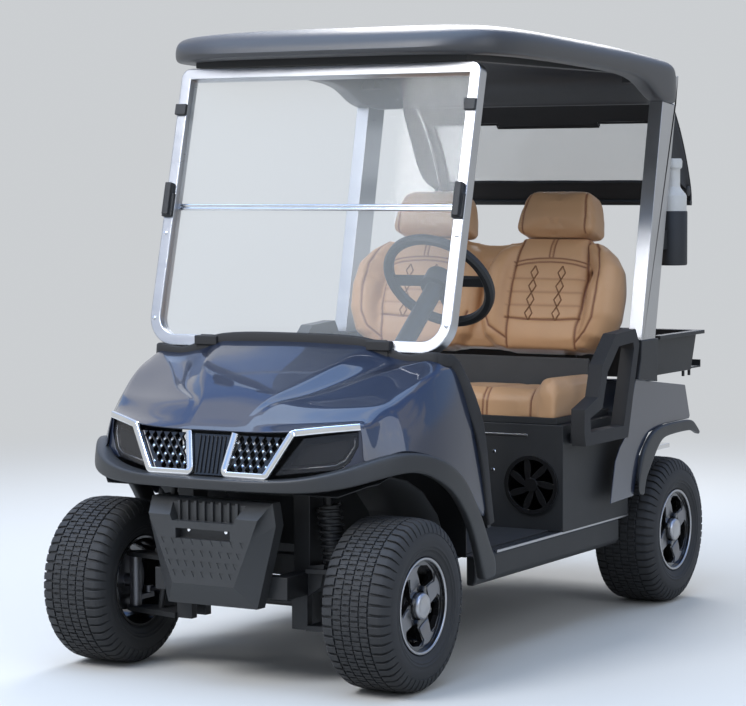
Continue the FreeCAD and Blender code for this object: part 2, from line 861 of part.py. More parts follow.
def cowl_sections(inset):
    """Sections of the cowl from the dashboard to the nose, moved in by an inset."""
    widen = size.flare_half_width / 550
    sections = []
    for x, top, waist in COWL_ROWS:
        half = [(widen * max(y - inset, 0), size.windshield_foot + z - inset) for y, z in top]
        half.append((widen * (waist - inset), 600))
        half.append((widen * (waist - inset), 420))
        shift = -inset if x > 0 else 0
        sections.append(arch(front_axle + x + shift, half, 380 - inset))
    return sections


def make_cowl():
    """Bonnet with its side panels, a hollow moulding over the bumper."""
    wall = float(size.body_wall)
    shell = loft(cowl_sections(0)).cut(loft(cowl_sections(wall)))
    below = at_front(WAIST) + [(front_axle - 394, 305), (front_axle - 394, 200)]
    below += [(front_axle + 400, 200), (front_axle + 400, 562)]
    shell = shell.cut(profile_prism(below, -700, 700)).cut(nose_openings())
    behind = at_front(((-221, 1000),) + COWL_REAR + ((-370, 300), (-600, 300), (-600, 1000)))
    shell = shell.cut(profile_prism(behind, -700, 700))
    shaped("front_cowl", shell)


PILLAR_REAR = (
    # forward of the axle, up: rear edge of the trim, from the sill to the windshield
    (-389, 392),
    (-352, 560),
    (-345, 690),
    (-357, 785),
    (-336, 824),
    (-262, 858),
)


def make_pillar_trims():
    """Dark trims behind the cowl's side edges, from the windshield down to the sills."""
    gap = float(size.axle_gap)
    inside = float(size.floor_half_width) + gap
    cowl_edge = [(x - gap, z) for x, z in COWL_REAR]
    side = at_front(cowl_edge + list(PILLAR_REAR))
    left = profile_prism(side, inside, inside + 200).common(loft(cowl_sections(0)))
    shaped("pillar_trims", Part.makeCompound([left, mirror_shape(left)]))


ARCH_LINER = (
    # forward of the axle, up: the liner's line over the tyre, from the nose to the floor
    (150, 520),
    (90, 545),
    (10, 562),
    (-80, 543),
    (-170, 503),
    (-250, 433),
    (-296, 350),
    (-312, 300),
    (-387.5, 300),
)


def make_arch_liners():
    """Thin liners over the front tyres, inside the flares."""
    line = at_front(ARCH_LINER)
    back = [(x - 2.5, z + 3) for x, z in reversed(line)]
    left = profile_prism(line + back, 225, 440)
    shaped("arch_liners", Part.makeCompound([left, mirror_shape(left)]))


GUARD_REAR = (
    # across, up: round the guard's rear edge
    (134, 500),
    (190, 500),
    (200, 440),
    (141, 216),
)


GUARD_FACE = (
    # across, up: round its flat front face
    (134, 458),
    (171, 458),
    (147, 400),
    (96, 277),
)


GUARD_RIBS = 8
GUARD_ROWS = (
    # height, dimples, half of the row's span
    (389, 9, 124),
    (360, 9, 112),
    (331, 9, 102),
    (304, 7, 88),
)


def make_lower_panel():
    """Hollow guard below the bumper: bevelled sides, a ribbed recess, a slot and rows of dimples."""
    wall = float(size.body_wall)
    rear, bevel, face = 150, 188, 233
    shelf, slot_back, dimple = 200, 207, 8

    def ring_at(x, half, inset):
        left = [place(front_axle + x, y - inset, z + (-inset if z > 300 else inset)) for y, z in half]
        return left + [place(spot.x, -spot.y, spot.z) for spot in reversed(left)]

    def shell(inset):
        back = rear - inset * 4
        sections = ((back, GUARD_REAR), (bevel, GUARD_REAR), (face - inset, GUARD_FACE))
        return loft([ring_at(x, half, inset) for x, half in sections])

    def recess(grow):
        low, wide, narrow = 443 - grow, 134 + grow, 97 + grow
        corners = ((wide, 540), (narrow, low), (-narrow, low), (-wide, 540))
        spots = [place(front_axle + shelf - grow, y, z) for y, z in corners]
        return Part.Face(polygon(spots)).extrude(place(200, 0, 0))

    def slot(grow):
        low = place(front_axle + slot_back - grow, -86 - grow, 397 - grow)
        return Part.makeBox(200, 2 * (86 + grow), 27 + 2 * grow, low)

    space = shell(wall).cut(recess(wall)).cut(slot(wall))
    guard = shell(0).cut(space).cut(recess(0)).cut(slot(0))
    ribs = []
    for number in range(GUARD_RIBS):
        y = (number - (GUARD_RIBS - 1) / 2) * 26
        ribs.append(Part.makeBox(9, 7, 52, place(front_axle + shelf - 1, y - 3.5, 443)))
    marks = []
    for height, count, span in GUARD_ROWS:
        for number in range(count):
            y = span * (2 * number / (count - 1) - 1)
            corners = ((y - dimple, height + dimple), (y + dimple, height + dimple), (y, height - dimple))
            depth = front_axle + face - wall / 2
            spots = [place(depth, across, up) for across, up in corners]
            marks.append(Part.Face(polygon(spots)).extrude(place(wall, 0, 0)))
    shape = guard.cut(marks[0].multiFuse(marks[1:])).multiFuse(ribs)
    shaped("lower_front_panel", shape)


MESH_ROWS = (584, 604, 624, 644, 661)


MESH_PITCH = 24


def make_grille():
    """Grille between the headlamps: a plate with staggered diamond openings in each half."""
    left = list(GRILLE[:-1])
    loop = left + [(-y, z) for y, z in reversed(left) if y]
    plate = nose_piece(loop, grille_face, -18, -8)
    holes = []
    for row, z in enumerate(MESH_ROWS):
        inner = 50 + (z - 573) * 22 / 99 + 20
        outer = 180 + (z - 573) * 64 / 109 - 20
        start = inner + (MESH_PITCH / 2 if row % 2 else 0)
        for number in range(int((outer - start) / MESH_PITCH) + 1):
            y = start + number * MESH_PITCH
            corners = ((y, z - 13), (y + 9, z), (y, z + 13), (y - 9, z))
            spots = [place(front_axle + 100, across, up) for across, up in corners]
            hole = Part.Face(polygon(spots)).extrude(place(200, 0, 0))
            holes.append(hole)
            holes.append(mirror_shape(hole))
    shaped("grille", plate.cut(holes[0].multiFuse(holes[1:])))


def make_trim():
    """Bright trim round the grille and over the headlamps."""
    frame = nose_piece(ribbon(TRIM, TRIM_WIDTH), grille_face, -7.7, 4)
    brow = nose_piece(ribbon(BROW, TRIM_WIDTH), lamp_face, -12, 2).cut(frame)
    shaped("grille_trim", Part.makeCompound([frame, mirror_shape(frame), brow, mirror_shape(brow)]))


def make_lamps():
    """Headlamps in the corners of the nose and lamps on the tail."""
    frame = nose_piece(ribbon(TRIM, TRIM_WIDTH + 1), grille_face, -400, 400)
    brow = nose_piece(ribbon(BROW, TRIM_WIDTH + 1), lamp_face, -400, 400)
    head = nose_piece(HEADLAMP, lamp_face, -60, -4).cut(frame).cut(brow)
    tail_low, tail_high = 606, 646
    outline_points = []
    for z, out in ((tail_low, 0), (tail_high, 0), (tail_high, 14), (tail_low, 14)):
        outline_points.append((rear_axle - tail_face(z) - size.axle_gap - out, z))
    tail = profile_prism(outline_points, 390, 480)
    shaped("lamps", Part.makeCompound([head, mirror_shape(head), tail, mirror_shape(tail)]))


def tail_face(z):
    """How far behind the rear axle the rear body's tail is at a height."""
    return 86 + (684 - z) * 40 / 102


def dash_profile(grow):
    """Side outline of the dashboard, a little larger on its rear by an amount."""
    top = size.windshield_foot - 5.1 + grow
    return (
        # forward of the axle, up
        (-224, top),
        (-270, top),
        (-395 - grow, 800 + grow),
        (-400 - grow, size.dash_bottom),
        (-385, size.dash_bottom),
        (-330, size.dash_bottom),
    )


def make_dashboard():
    """Dashboard under the windshield, with its side cheeks."""
    half = 440
    shaped("dashboard", profile_prism(at_front(dash_profile(0)), -half, half))


lean = math.radians(float(size.windshield_lean))


frame_length = (size.windshield_top - size.windshield_foot) / math.cos(lean)


bar_place = (size.bar_height - size.windshield_foot) / math.cos(lean)


def lean_back(thing):
    """Stand a piece on the windshield's foot, leaning as the windshield does."""
    turn = FreeCAD.Rotation(FreeCAD.Vector(0, 1, 0), -float(size.windshield_lean))
    return seat_at(thing, front_axle - size.windshield_setback, 0, size.windshield_foot, turn)


def upright_loop(side, low, high):
    return ((-side, low), (side, low), (side, high), (-side, high))


def round_corners(body, feature, radius, low, high, side):
    """Round the edges that run through a sheet at the corners of one height."""
    doc.recompute()
    names = []
    for number, edge in enumerate(feature.Shape.Edges, start=1):
        start, end = edge.Vertexes[0].Point, edge.Vertexes[-1].Point
        runs_through = abs(start.x - end.x) > 1
        at_side = abs(abs(start.y) - float(side)) < 1
        if runs_through and at_side and low <= start.z <= high:
            names.append(f"Edge{number}")
    made = body.newObject("PartDesign::Fillet", body.Name + "_corners")
    made.Base = (feature, names)
    made.setExpression("Radius", formula(radius))
    return made


def make_windshield_frame():
    """Tube frame with round corners, wider ones at its foot."""
    half = size.windshield_half_width
    face = size.frame_face
    body = new_body("windshield_frame")
    outside = outline(body, "YZ_Plane", upright_loop(half, 0, frame_length))
    block = pad(body, outside, size.frame_deep, symmetric=True)
    foot = round_corners(body, block, size.frame_corner, -1, 1, half)
    round_corners(body, foot, size.frame_corner / 3, 700, 2000, half)
    hole = upright_loop(half - face, face, frame_length - face)
    opening = pocket(body, outline(body, "YZ_Plane", hole), size.frame_deep * 3, symmetric=True)
    round_corners(body, opening, size.frame_corner - face, 20, 60, half - face)
    lean_back(body)
    keep(body, "windshield_frame")


def make_panes():
    """Lower and upper pane inside the frame."""
    side = size.windshield_half_width - size.frame_face - size.axle_gap
    start = size.frame_face + size.axle_gap
    for name, low, high in (
        ("windshield_lower", start, bar_place - 10),
        ("windshield_upper", bar_place + 10, frame_length - start),
    ):
        body = new_body(name)
        sketch = outline(body, "YZ_Plane", upright_loop(side, low, high))
        pane = pad(body, sketch, size.glass, symmetric=True)
        if name == "windshield_lower":
            round_corners(body, pane, size.frame_corner - size.frame_face, 20, 60, side)
        lean_back(body)
        keep(body, name)


def make_windshield_bar():
    """Two bright tubes and the seal between them, where the panes meet."""
    side = size.windshield_half_width - size.frame_face - size.axle_gap
    body = new_body("windshield_bar")
    for rise in (-5, 5):
        pad(body, ring(body, "XZ_Plane", 4.6, 0, (0, bar_place + rise)), side * 2, symmetric=True)
    web = ((-2, bar_place - 6), (2, bar_place - 6), (2, bar_place + 6), (-2, bar_place + 6))
    pad(body, outline(body, "XZ_Plane", web), side * 2, symmetric=True)
    lean_back(body)
    keep(body, "windshield_bar")


FITTINGS = (
    # name, across from the frame's outside, half width, low and high on the frame, depth
    ("latch_base", 17, 17, -34, 34, 12),
    ("latch_lever", 17, 10, -30, 64, 24),
    ("clamp", 17, 18, 268, 300, 12),
)


def make_windshield_fittings():
    """Latches that hold the folding pane, clamps above them and clips on the foot."""
    front = size.frame_deep / 2
    body = new_body("fittings_left")
    for name, inset, half, low, high, deep in FITTINGS:
        middle = size.windshield_half_width - inset
        corners = (
            (middle - half, bar_place + low), (middle + half, bar_place + low),
            (middle + half, bar_place + high), (middle - half, bar_place + high),
        )
        pad(body, outline(body, "YZ_Plane", corners, front), deep)
    lean_back(body)
    clip = new_body("clip_left")
    pad(clip, outline(clip, "YZ_Plane", ((258, 18), (302, 18), (302, 33), (258, 33)), front), 12)
    lean_back(clip)
    made = doc.addObject("Part::Compound", "fittings")
    made.Links = [body, mirrored("fittings_right", body), clip, mirrored("clip_right", clip)]
    keep(made, "windshield_fittings")


# Windshield

# Roof and struts

def roof_sections(inset, cut_through):
    """Sections of the roof from front to rear."""
    wide = float(size.roof_half_width)
    edge = float(size.roof_edge)
    crown = float(size.roof_crown)
    front = float(front_axle)
    rear = float(rear_axle)
    table = (
        # x, half width, underside, edge top, crown
        (front - float(size.roof_front), wide - 240, edge + 8, edge + 52, crown - 46),
        (front - 370, wide - 110, edge + 2, edge + 70, crown - 26),
        (front - 450, wide - 14, edge, edge + 74, crown - 12),
        (front - 620, wide, edge - 3, edge + 70, crown),
        (rear + 379, wide, edge - 22, edge + 45, crown - 8),
        (rear + 193, wide, edge - 95, edge + 32, crown - 20),
        (rear + 60, wide, edge - 110, edge + 24, crown - 36),
        (rear - float(size.roof_rear), wide - 40, edge - 100, edge + 8, crown - 66),
    )
    sections = []
    for x, half, low, high, top in table:
        side = half - inset
        lift = -60 if cut_through else 0
        drop = float(size.roof_skin) if cut_through else 0
        points = (
            (0, top - drop),
            (side * 0.6, (top + high) / 2 + 6 - drop),
            (side - 30, high - drop),
            (side, high - 26 - drop),
        )
        sections.append(arch(x, points, low + lift))
    return sections


def roof_solid():
    """Moulded roof: a thin crowned skin with a thick rolled edge."""
    outer = loft(roof_sections(0, False))
    hollow = loft(roof_sections(float(size.roof_roll), True))
    span = float(size.wheelbase + size.roof_rear - size.roof_front - size.roof_roll * 2)
    start = rear_axle - size.roof_rear + size.roof_roll
    room = Part.makeBox(span, 2000, 1000, place(start, -1000, 1200))
    return outer.cut(hollow.common(room))


def make_roof():
    shaped("roof", roof_solid())


def make_roof_frame():
    """Tubes under the roof that join the windshield frame to the rear struts."""
    front = float(front_axle) - 420
    rear = float(rear_axle) + 160
    low = float(size.windshield_top) + 5.3
    rail_outer = float(size.roof_half_width - size.roof_roll) - 45
    rail_inner = rail_outer - 35
    bar = Part.makeBox(60, 2 * rail_outer, 90, place(front - 60, -rail_outer, low))
    side = Part.makeBox(front - rear, 35, 90, place(rear, rail_inner, low))
    inner = float(size.strut_outer - size.strut_width)
    foot = Part.makeBox(50, inner - rail_outer + 5, 30, place(rear, rail_outer - 5, low - 30))
    pieces = [side, mirror_shape(side), foot, mirror_shape(foot)]
    shaped("roof_frame", bar.multiFuse(pieces).cut(roof_solid()).Solids[0])


def strut_outline(low, high, grow=0):
    """Side outline of a rear strut between two heights."""
    slope = math.tan(math.radians(float(size.strut_lean)))
    front = float(rear_axle + size.strut_base)
    top = float(size.shoe_top)

    def front_at(z):
        return front - (z - top) * slope

    depth = float(size.strut_depth)
    return [
        (front_at(low) + grow, low),
        (front_at(high) + grow, high),
        (front_at(high) - depth - grow, high),
        (front_at(low) - depth - grow, low),
    ]


def make_struts():
    outer = float(size.strut_outer)
    inner = outer - float(size.strut_width)
    left = profile_prism(strut_outline(560, 1660), inner, outer)
    left = left.cut(roof_solid()).cut(deck_block())
    shaped("rear_struts", Part.makeCompound([left, mirror_shape(left)]))


def deck_block():
    """Everything below the rear body's deck, with a small gap above it."""
    gap = float(size.axle_gap)
    points = at_rear(((-86, 684 + gap), (300, 727.4 + gap), (700, 772), (700, 0), (-86, 0)))
    return profile_prism(points, -700, 700)


def make_strut_shoes():
    outer = float(size.strut_outer)
    inner = outer - float(size.strut_width)
    gap = float(size.axle_gap)
    base = float(rear_axle + size.strut_base)
    top = float(size.shoe_top)
    low = 650
    points = [(base + 8, top), (base + 14, top - 60), (base + 36, 728), (base + 36, low)]
    points += [(base - 120, low), (base - 110, 728), (base - 118, top)]
    block = profile_prism(points, inner - 8, outer + 6)
    hole = profile_prism(strut_outline(500, 1000, gap), inner - gap, outer + gap)
    left = block.cut(hole).cut(deck_block())
    shaped("strut_shoes", Part.makeCompound([left, mirror_shape(left)]))


# Rear body

REAR_SIDE = (
    # forward of the rear axle, up: round the side panel, from its front foot over the deck
    (481, 365),
    (447, 490),
    (415, 530),
    (372, 560),
    (338, 640),
    (300, 727.4),
    (-86, 684),
    (-126, 582),
    (-119, 573),
    (82, 572),
    (200, 555),
    (271, 496),
    (314, 371),
)


def make_rear_body():
    """Hollow fenders over the rear wheels, one each side of the bag well."""
    outer = float(size.body_half_width)
    inner = float(size.platform_half_width) + 5
    wall = float(size.body_wall)
    fender = profile_prism(at_rear(REAR_SIDE), inner, outer)
    space = at_rear(((600, 757), (-86 + wall, 684 - wall), (-126 + wall, 582), (-119, 300), (600, 300)))
    fender = fender.cut(profile_prism(space, inner + wall, outer - wall))
    gap = float(size.axle_gap)
    pod = Part.makeBox(600, 2 * (float(size.pod_half_width) + gap), float(size.deck_front) - 14)
    pod.translate(place(rear_axle + size.pod_rear - gap, -float(size.pod_half_width) - gap, 0))
    left = fender.cut(pod)
    shaped("rear_body", Part.makeCompound([left, mirror_shape(left)]))


def make_rear_flares():
    points = at_rear((
        (314, 371), (271, 496), (200, 555), (82, 572), (-119, 573), (-190, 521),
        (-102, 539), (122, 533), (244, 417), (261, 367),
    ))
    left = profile_prism(points, size.body_half_width - 25, size.body_half_width + 15)
    shaped("rear_flares", Part.makeCompound([left, mirror_shape(left)]))


def at_rear(points):
    return [(rear_axle + x, z) for x, z in points]


def make_basket():
    """Open basket that widens to a flange round its rim."""
    wall = float(size.basket_wall)
    half = float(size.basket_half_width)
    front = float(rear_axle + size.basket_front)
    rear = float(rear_axle - size.basket_rear)
    low = float(size.basket_floor)
    high = low + float(size.basket_height)
    taper, flange, rim = 14, 20, 12

    def tub(inset, base, top):
        """A tapered block, smaller at its foot."""
        foot = [place(x, y, base) for x, y in (
            (rear + taper + inset, -half + taper + inset), (front - inset, -half + taper + inset),
            (front - inset, half - taper - inset), (rear + taper + inset, half - taper - inset),
        )]
        head = [place(x, y, top) for x, y in (
            (rear + inset, -half + inset), (front - inset, -half + inset),
            (front - inset, half - inset), (rear + inset, half - inset),
        )]
        return loft([foot, head])

    edge = Part.makeBox(
        front - rear + flange, 2 * (half + flange), rim, place(rear - flange, -half - flange, high - rim)
    )
    block = tub(0, low, high).fuse(edge)
    shaped("basket", block.cut(tub(wall, low + wall, high + 50)))


def make_cradle():
    """Polished plate below the basket that the bags lean on, with its two pins."""
    half = size.cradle_half_width
    low = size.basket_floor - 5
    front = rear_axle + size.basket_front
    rear = rear_axle - size.tail_overhang
    pieces = [
        box("cradle_plate", (rear, -half, low), (front, half, low + 5)),
        box("cradle_lip", (rear, -half, low + 5), (rear + 5, half, low + 25)),
    ]
    gap = size.axle_gap
    for side in (1, -1):
        points = at_rear(((-80, 684.7 + gap), (20, 695.9 + gap), (20, float(low)), (-80, float(low))))
        foot = doc.addObject("Part::Feature", "cradle_foot")
        foot.Shape = profile_prism(points, *sorted((side * 345, side * 395)))
        pieces.append(foot)
        pieces.append(rod("cradle_pin", (rear + 40, side * (half - 25), low - 26), 26, 5, "Z"))
        pieces.append(rod("cradle_pin", (rear + 90, side * (half - 25), low - 26), 26, 5, "Z"))
    return keep(fuse("bag_cradle", pieces), "bag_cradle")


def make_platform():
    half = size.platform_half_width
    low = size.platform_height
    plate = box("platform_plate", (rear_axle - 440, -half, low), (rear_axle + 200, half, low + 15))
    wall = box("well_wall", (rear_axle + 200, -half, low), (rear_axle + 215, half, 690))
    rail_top = size.floor_height + size.rail_height
    legs = []
    for x in (-340, 120):
        for side in (1, -1):
            foot = side * size.rail_spacing / 2
            start = rear_axle + x
            legs.append(box("platform_leg", (start, foot - 25, rail_top), (start + 50, foot + 25, low)))
    return keep(fuse("bag_platform", [plate, wall] + legs), "bag_platform")


def make_bag_hood():
    """Rain hood from the roof's rear over the bags, with its gussets and hem bar."""
    half = float(size.hood_half_width)
    sheet_line = ((-8.3, 1664), (-96, 1606), (-166, 1534), (-236, 1420), (-284, 1300), (-288, 1253))
    inner_line = ((-8.3, 1659), (-93, 1602), (-162, 1531), (-232, 1418), (-280, 1299), (-284, 1253))
    sheet_of_cloth = profile_prism(at_rear(sheet_line + inner_line[::-1]), -half, half)
    gusset_line = ((-8.3, 1659), (-8.3, 1600), (-150, 1330), (-262, 1300), (-280, 1299))
    gusset = profile_prism(at_rear(gusset_line + inner_line[3:0:-1]), half - 4, half)
    bar = Part.makeCylinder(9, 2 * half, place(rear_axle - 278, -half, 1262), place(0, 1, 0))
    joint = Part.makeCylinder(17, 14, place(rear_axle - 262, half - 8, 1300), place(0, 1, 0))
    pieces = [gusset, mirror_shape(gusset), bar, joint, mirror_shape(joint)]
    shaped("bag_hood", sheet_of_cloth.multiFuse(pieces))


def make_bottle():
    """Sand bottle in its holder, on the rear of the left strut."""
    radius = float(size.bottle_radius)
    base = place(rear_axle + 24, 530, 1069)
    up = FreeCAD.Vector(0, 0, 1)
    holder = Part.makeCylinder(radius, 170, base)
    flask = Part.makeCylinder(radius - 3, 50, base + up * 170)
    shoulder = Part.makeCone(radius - 3, 24, 24, base + up * 220)
    neck = Part.makeCylinder(24, 60, base + up * 244)
    head = Part.makeCylinder(31, 30, base + up * 304)
    bracket_side = at_rear(((30, 1120), (200, 1120), (200, 1180), (30, 1180)))
    bracket = profile_prism(bracket_side, 512, 535)
    bracket = bracket.cut(profile_prism(strut_outline(1000, 1300, float(size.axle_gap)), 400, 700))
    bracket = min(bracket.Solids, key=lambda solid: solid.CenterOfMass.x)
    shaped("sand_bottle", holder.multiFuse([flask, shoulder, neck, head, bracket]))


# Seats

def hinge_place():
    """The cushion hinge's axis, in X and Z."""
    return rear_axle + size.cushion_rear + size.hinge_inset, size.cushion_top - size.hinge_inset


def make_cushion():
    """Seat cushion over the pod, with the pins of its two hinges."""
    front = rear_axle + size.pod_front
    rear = rear_axle + size.cushion_rear
    low = size.pod_top + size.axle_gap
    body = new_body("seat_cushion")
    profile = (
        # fore and aft, up: the rear lower corner is cut off so that it swings clear
        (rear + size.hinge_inset, low),
        (front, low),
        (front, size.cushion_top + size.cushion_rise),
        (rear, size.cushion_top),
        (rear, low + size.hinge_inset),
    )
    pad(body, outline(body, "XZ_Plane", profile), size.cushion_half_width * 2, symmetric=True)
    top = size.cushion_top + size.cushion_rise / 2
    crest = top + size.cushion_bolster
    raised = (
        (rear + 200, top - 20), (front - 12, top - 20), (front - 12, top + 12),
        (front - 60, crest), (rear + 250, crest - 6), (rear + 200, top - 4),
    )
    for side in (1, -1):
        offset = -(size.cushion_half_width - 41) * side
        pad(body, outline(body, "XZ_Plane", raised, offset), 74, symmetric=True)
    x, z = hinge_place()
    room = size.hinge_ear + 3
    above = size.cushion_top + 20
    notch = ((rear - 1, z - room), (x + room, z - room), (x + room, above), (rear - 1, above))
    for side in (1, -1):
        offset = -size.hinge_offset * side
        pocket(body, outline(body, "XZ_Plane", notch, offset), size.hinge_width + 8, symmetric=True)
    for side in (1, -1):
        offset = -size.hinge_offset * side
        pin = ring(body, "XZ_Plane", size.hinge_pin, offset, (x, z))
        pad(body, pin, size.hinge_width + 16, symmetric=True)
    return keep(body, "seat_cushion")


BOLSTER = (
    # across, up along the seat back: the raised side of a seat
    (400, 20),
    (446, 20),
    (466, 120),
    (470, 300),
    (438, 330),
    (404, 300),
    (388, 160),
)


def make_seat_back():
    """Two seats side by side with bolsters and headrests, leaning back."""
    middle = size.seat_pitch / 2
    high = size.headrest_height
    half = (
        # across, up along the seat back
        (440, 0), (466, 120), (470, 300), (430, 345),
        (middle + 135, 372), (middle + 128, high - 30), (middle + 105, high),
        (middle - 105, high), (middle - 128, high - 30), (middle - 135, 372), (60, 357),
    )
    headrest = (
        (middle + 133, 386), (middle + 128, high - 30), (middle + 105, high),
        (middle - 105, high), (middle - 128, high - 30), (middle - 133, 386),
    )
    loop = [(y, z) for y, z in half] + [(-y, z) for y, z in reversed(half)]
    turn = FreeCAD.Rotation(FreeCAD.Vector(0, 1, 0), -float(size.back_lean))
    body = new_body("seat_back")
    pad(body, outline(body, "YZ_Plane", loop, -size.back_thickness), size.back_thickness)
    for side in (1, -1):
        raised = [(y * side, z) for y, z in BOLSTER]
        pad(body, outline(body, "YZ_Plane", raised, -20), size.bolster_rise + 20)
        padded = [(y * side, z) for y, z in headrest]
        pad(body, outline(body, "YZ_Plane", padded, -20), size.headrest_rise + 20)
    seat_at(body, rear_axle + size.back_foot, 0, size.back_bottom, turn)
    keep(body, "seat_back")


def make_seat_back_frame():
    """Two uprights from the pod that carry the seat back."""
    turn = FreeCAD.Rotation(FreeCAD.Vector(0, 1, 0), -float(size.back_lean))
    frame = new_body("seat_back_frame_left")
    angle = math.radians(float(size.back_lean))
    start = -size.back_thickness - size.axle_gap - 8
    drop = (size.back_bottom - size.pod_top - size.axle_gap) / math.cos(angle) + start * math.tan(angle)
    bar = ((260, -drop), (300, -drop), (300, 300), (260, 300))
    pad(frame, outline(frame, "YZ_Plane", bar, start), 8)
    seat_at(frame, rear_axle + size.back_foot, 0, size.back_bottom, turn)
    keep(both_sides("seat_back_frame", frame), "seat_back_frame")


def make_back_panel():
    """Panel between the cushion and the seat back, with the ears of the cushion's hinges."""
    rear = rear_axle + size.cushion_rear - 18
    front = rear + 12
    x, z = hinge_place()
    pieces = [box("back_panel_plate", (rear, -385, size.pod_top), (front, 385, size.back_bottom - 14))]
    bores = []
    for side in (1, -1):
        low = size.hinge_offset * side - size.hinge_width / 2
        high = low + size.hinge_width
        pieces.append(box("hinge_arm", (front, low, z - size.hinge_ear), (x, high, z + size.hinge_ear)))
        pieces.append(rod("hinge_ear", (x, low, z), size.hinge_width, size.hinge_ear, "Y"))
        bore_radius = size.hinge_pin + size.axle_gap
        bores.append(rod("hinge_bore", (x, low - 5, z), size.hinge_width + 10, bore_radius, "Y"))
    block = fuse("back_panel_block", pieces)
    return keep(cut("seat_back_panel", block, fuse("hinge_bores", bores)), "seat_back_panel")


def make_armrests():
    """Closed hoops beside the seat."""
    outer = at_rear((
        (705, 560), (714, 600), (712, 668), (618, 698), (588, 792), (492, 878),
        (352, 886), (322, 840), (404, 560),
    ))
    inner = at_rear((
        (668, 598), (672, 640), (588, 664), (552, 768), (472, 840),
        (368, 846), (362, 826), (436, 598),
    ))
    body = new_body("hoop_left")
    wide = size.hoop_width
    pad(body, outline(body, "XZ_Plane", outer, -size.hoop_offset), wide, symmetric=True)
    pocket(body, outline(body, "XZ_Plane", inner, -size.hoop_offset), wide + 20, symmetric=True)
    across = size.hoop_offset - wide / 2
    for start, width in ((440, 40), (640, 40)):
        corners = at_rear(((start, 564), (start + width, 564), (start + width, 594), (start, 594)))
        pad(body, outline(body, "XZ_Plane", corners, -across), across - size.pod_half_width)
    return keep(both_sides("armrests", body), "armrests")


# Controls

def make_steering_wheel():
    lean = 90 - float(size.column_angle)
    turn = FreeCAD.Rotation(FreeCAD.Vector(0, 1, 0), -lean)
    body = new_body("steering_wheel")
    centre = size.wheel_ring_radius - size.wheel_rim_radius
    thick = size.wheel_rim_radius
    profile = (
        (centre - thick, -thick / 2), (centre - thick / 2, -thick), (centre + thick / 2, -thick),
        (centre + thick, -thick / 2), (centre + thick, thick / 2), (centre + thick / 2, thick),
        (centre - thick / 2, thick), (centre - thick, thick / 2),
    )
    revolve(body, outline(body, "XZ_Plane", profile), "V_Axis")
    reach = centre - 2
    cross_bar = ((16, -reach), (16, reach), (-16, reach), (-16, -reach))
    low_spoke = ((0, -20), (0, 20), (-reach, 12), (-reach, -12))
    pad(body, outline(body, "XY_Plane", cross_bar, -6), 12)
    pad(body, outline(body, "XY_Plane", low_spoke, -6), 12)
    pad(body, ring(body, "XY_Plane", 44, -34), 48)
    seat_at(body, front_axle - size.wheel_setback, size.wheel_offset, size.wheel_height, turn)
    return keep(body, "steering_wheel")


def make_column():
    angle = math.radians(float(size.column_angle))
    ahead = FreeCAD.Vector(math.cos(angle), 0, -math.sin(angle))
    centre = place(front_axle - size.wheel_setback, size.wheel_offset, size.wheel_height)
    start = centre + ahead * (34 + float(size.axle_gap))
    shape = Part.makeCylinder(27, 330, start, ahead)
    dash = [(float(x), float(z)) for x, z in dash_profile(float(size.axle_gap))[:4]]
    behind = at_front(dash + [(-400, 600), (-200, 600)])
    shape = shape.cut(profile_prism(behind, -700, 700))
    shaped("steering_column", shape.Solids[0])


def make_pedals():
    """Brake and accelerator, hung from the toe board."""
    toe = front_axle - size.toe_board_setback - size.floor_plate
    pieces = []
    for offset in (150, 260):
        pieces.append(Part.makeBox(8, 60, 90, place(toe - 68, offset - 30, 330)))
        pieces.append(Part.makeBox(60, 16, 16, place(toe - 60, offset - 8, 370)))
    shaped("pedals", pieces[0].multiFuse(pieces[1:]))


# The cart

for wheel in wheel_places():
    make_tyre(*wheel)
    make_rim(*wheel)
make_knuckle("knuckle_left", 1)
make_knuckle("knuckle_right", -1)
make_tie_rod()
make_front_suspension()
make_chassis()
make_rear_axle()
make_battery()
make_floor()
make_floor_mat()
make_sills()
make_seat_pod()
make_vent()
make_bumper()
make_cowl()
make_pillar_trims()
make_arch_liners()
make_lower_panel()
make_grille()
make_trim()
make_lamps()
make_dashboard()
make_windshield_frame()
make_panes()
make_windshield_bar()
make_windshield_fittings()
make_roof()
make_roof_frame()
make_struts()
make_strut_shoes()
make_rear_body()
make_rear_flares()
make_basket()
make_cradle()
make_platform()
make_bag_hood()
make_bottle()
make_cushion()
make_seat_back()
make_seat_back_frame()
make_back_panel()
make_armrests()
make_steering_wheel()
make_column()
make_pedals()
doc.recompute()

# Checks, then one STEP file for each sub-part

for thing in doc.Objects:
    if "Invalid" in thing.State or "Error" in thing.State:
        raise RuntimeError(f"{thing.Label} failed to rebuild")
for thing in sub_parts:
    if thing.Shape.isNull() or not thing.Shape.isValid():
        raise RuntimeError(f"{thing.Label} has no valid shape")

os.makedirs("parts", exist_ok=True)
for thing in sub_parts:
    thing.Shape.exportStep(f"parts/{thing.Label}.step")
print(len(sub_parts), "sub-parts written")
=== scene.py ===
"""A two-seat golf cart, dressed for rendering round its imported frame.

Every length is in metres. +X points forward, +Y to the cart's left and +Z up.
"""

import json
import math

import bmesh
import bpy
import numpy as np
from mathutils import Matrix, Vector
from mathutils.bvhtree import BVHTree


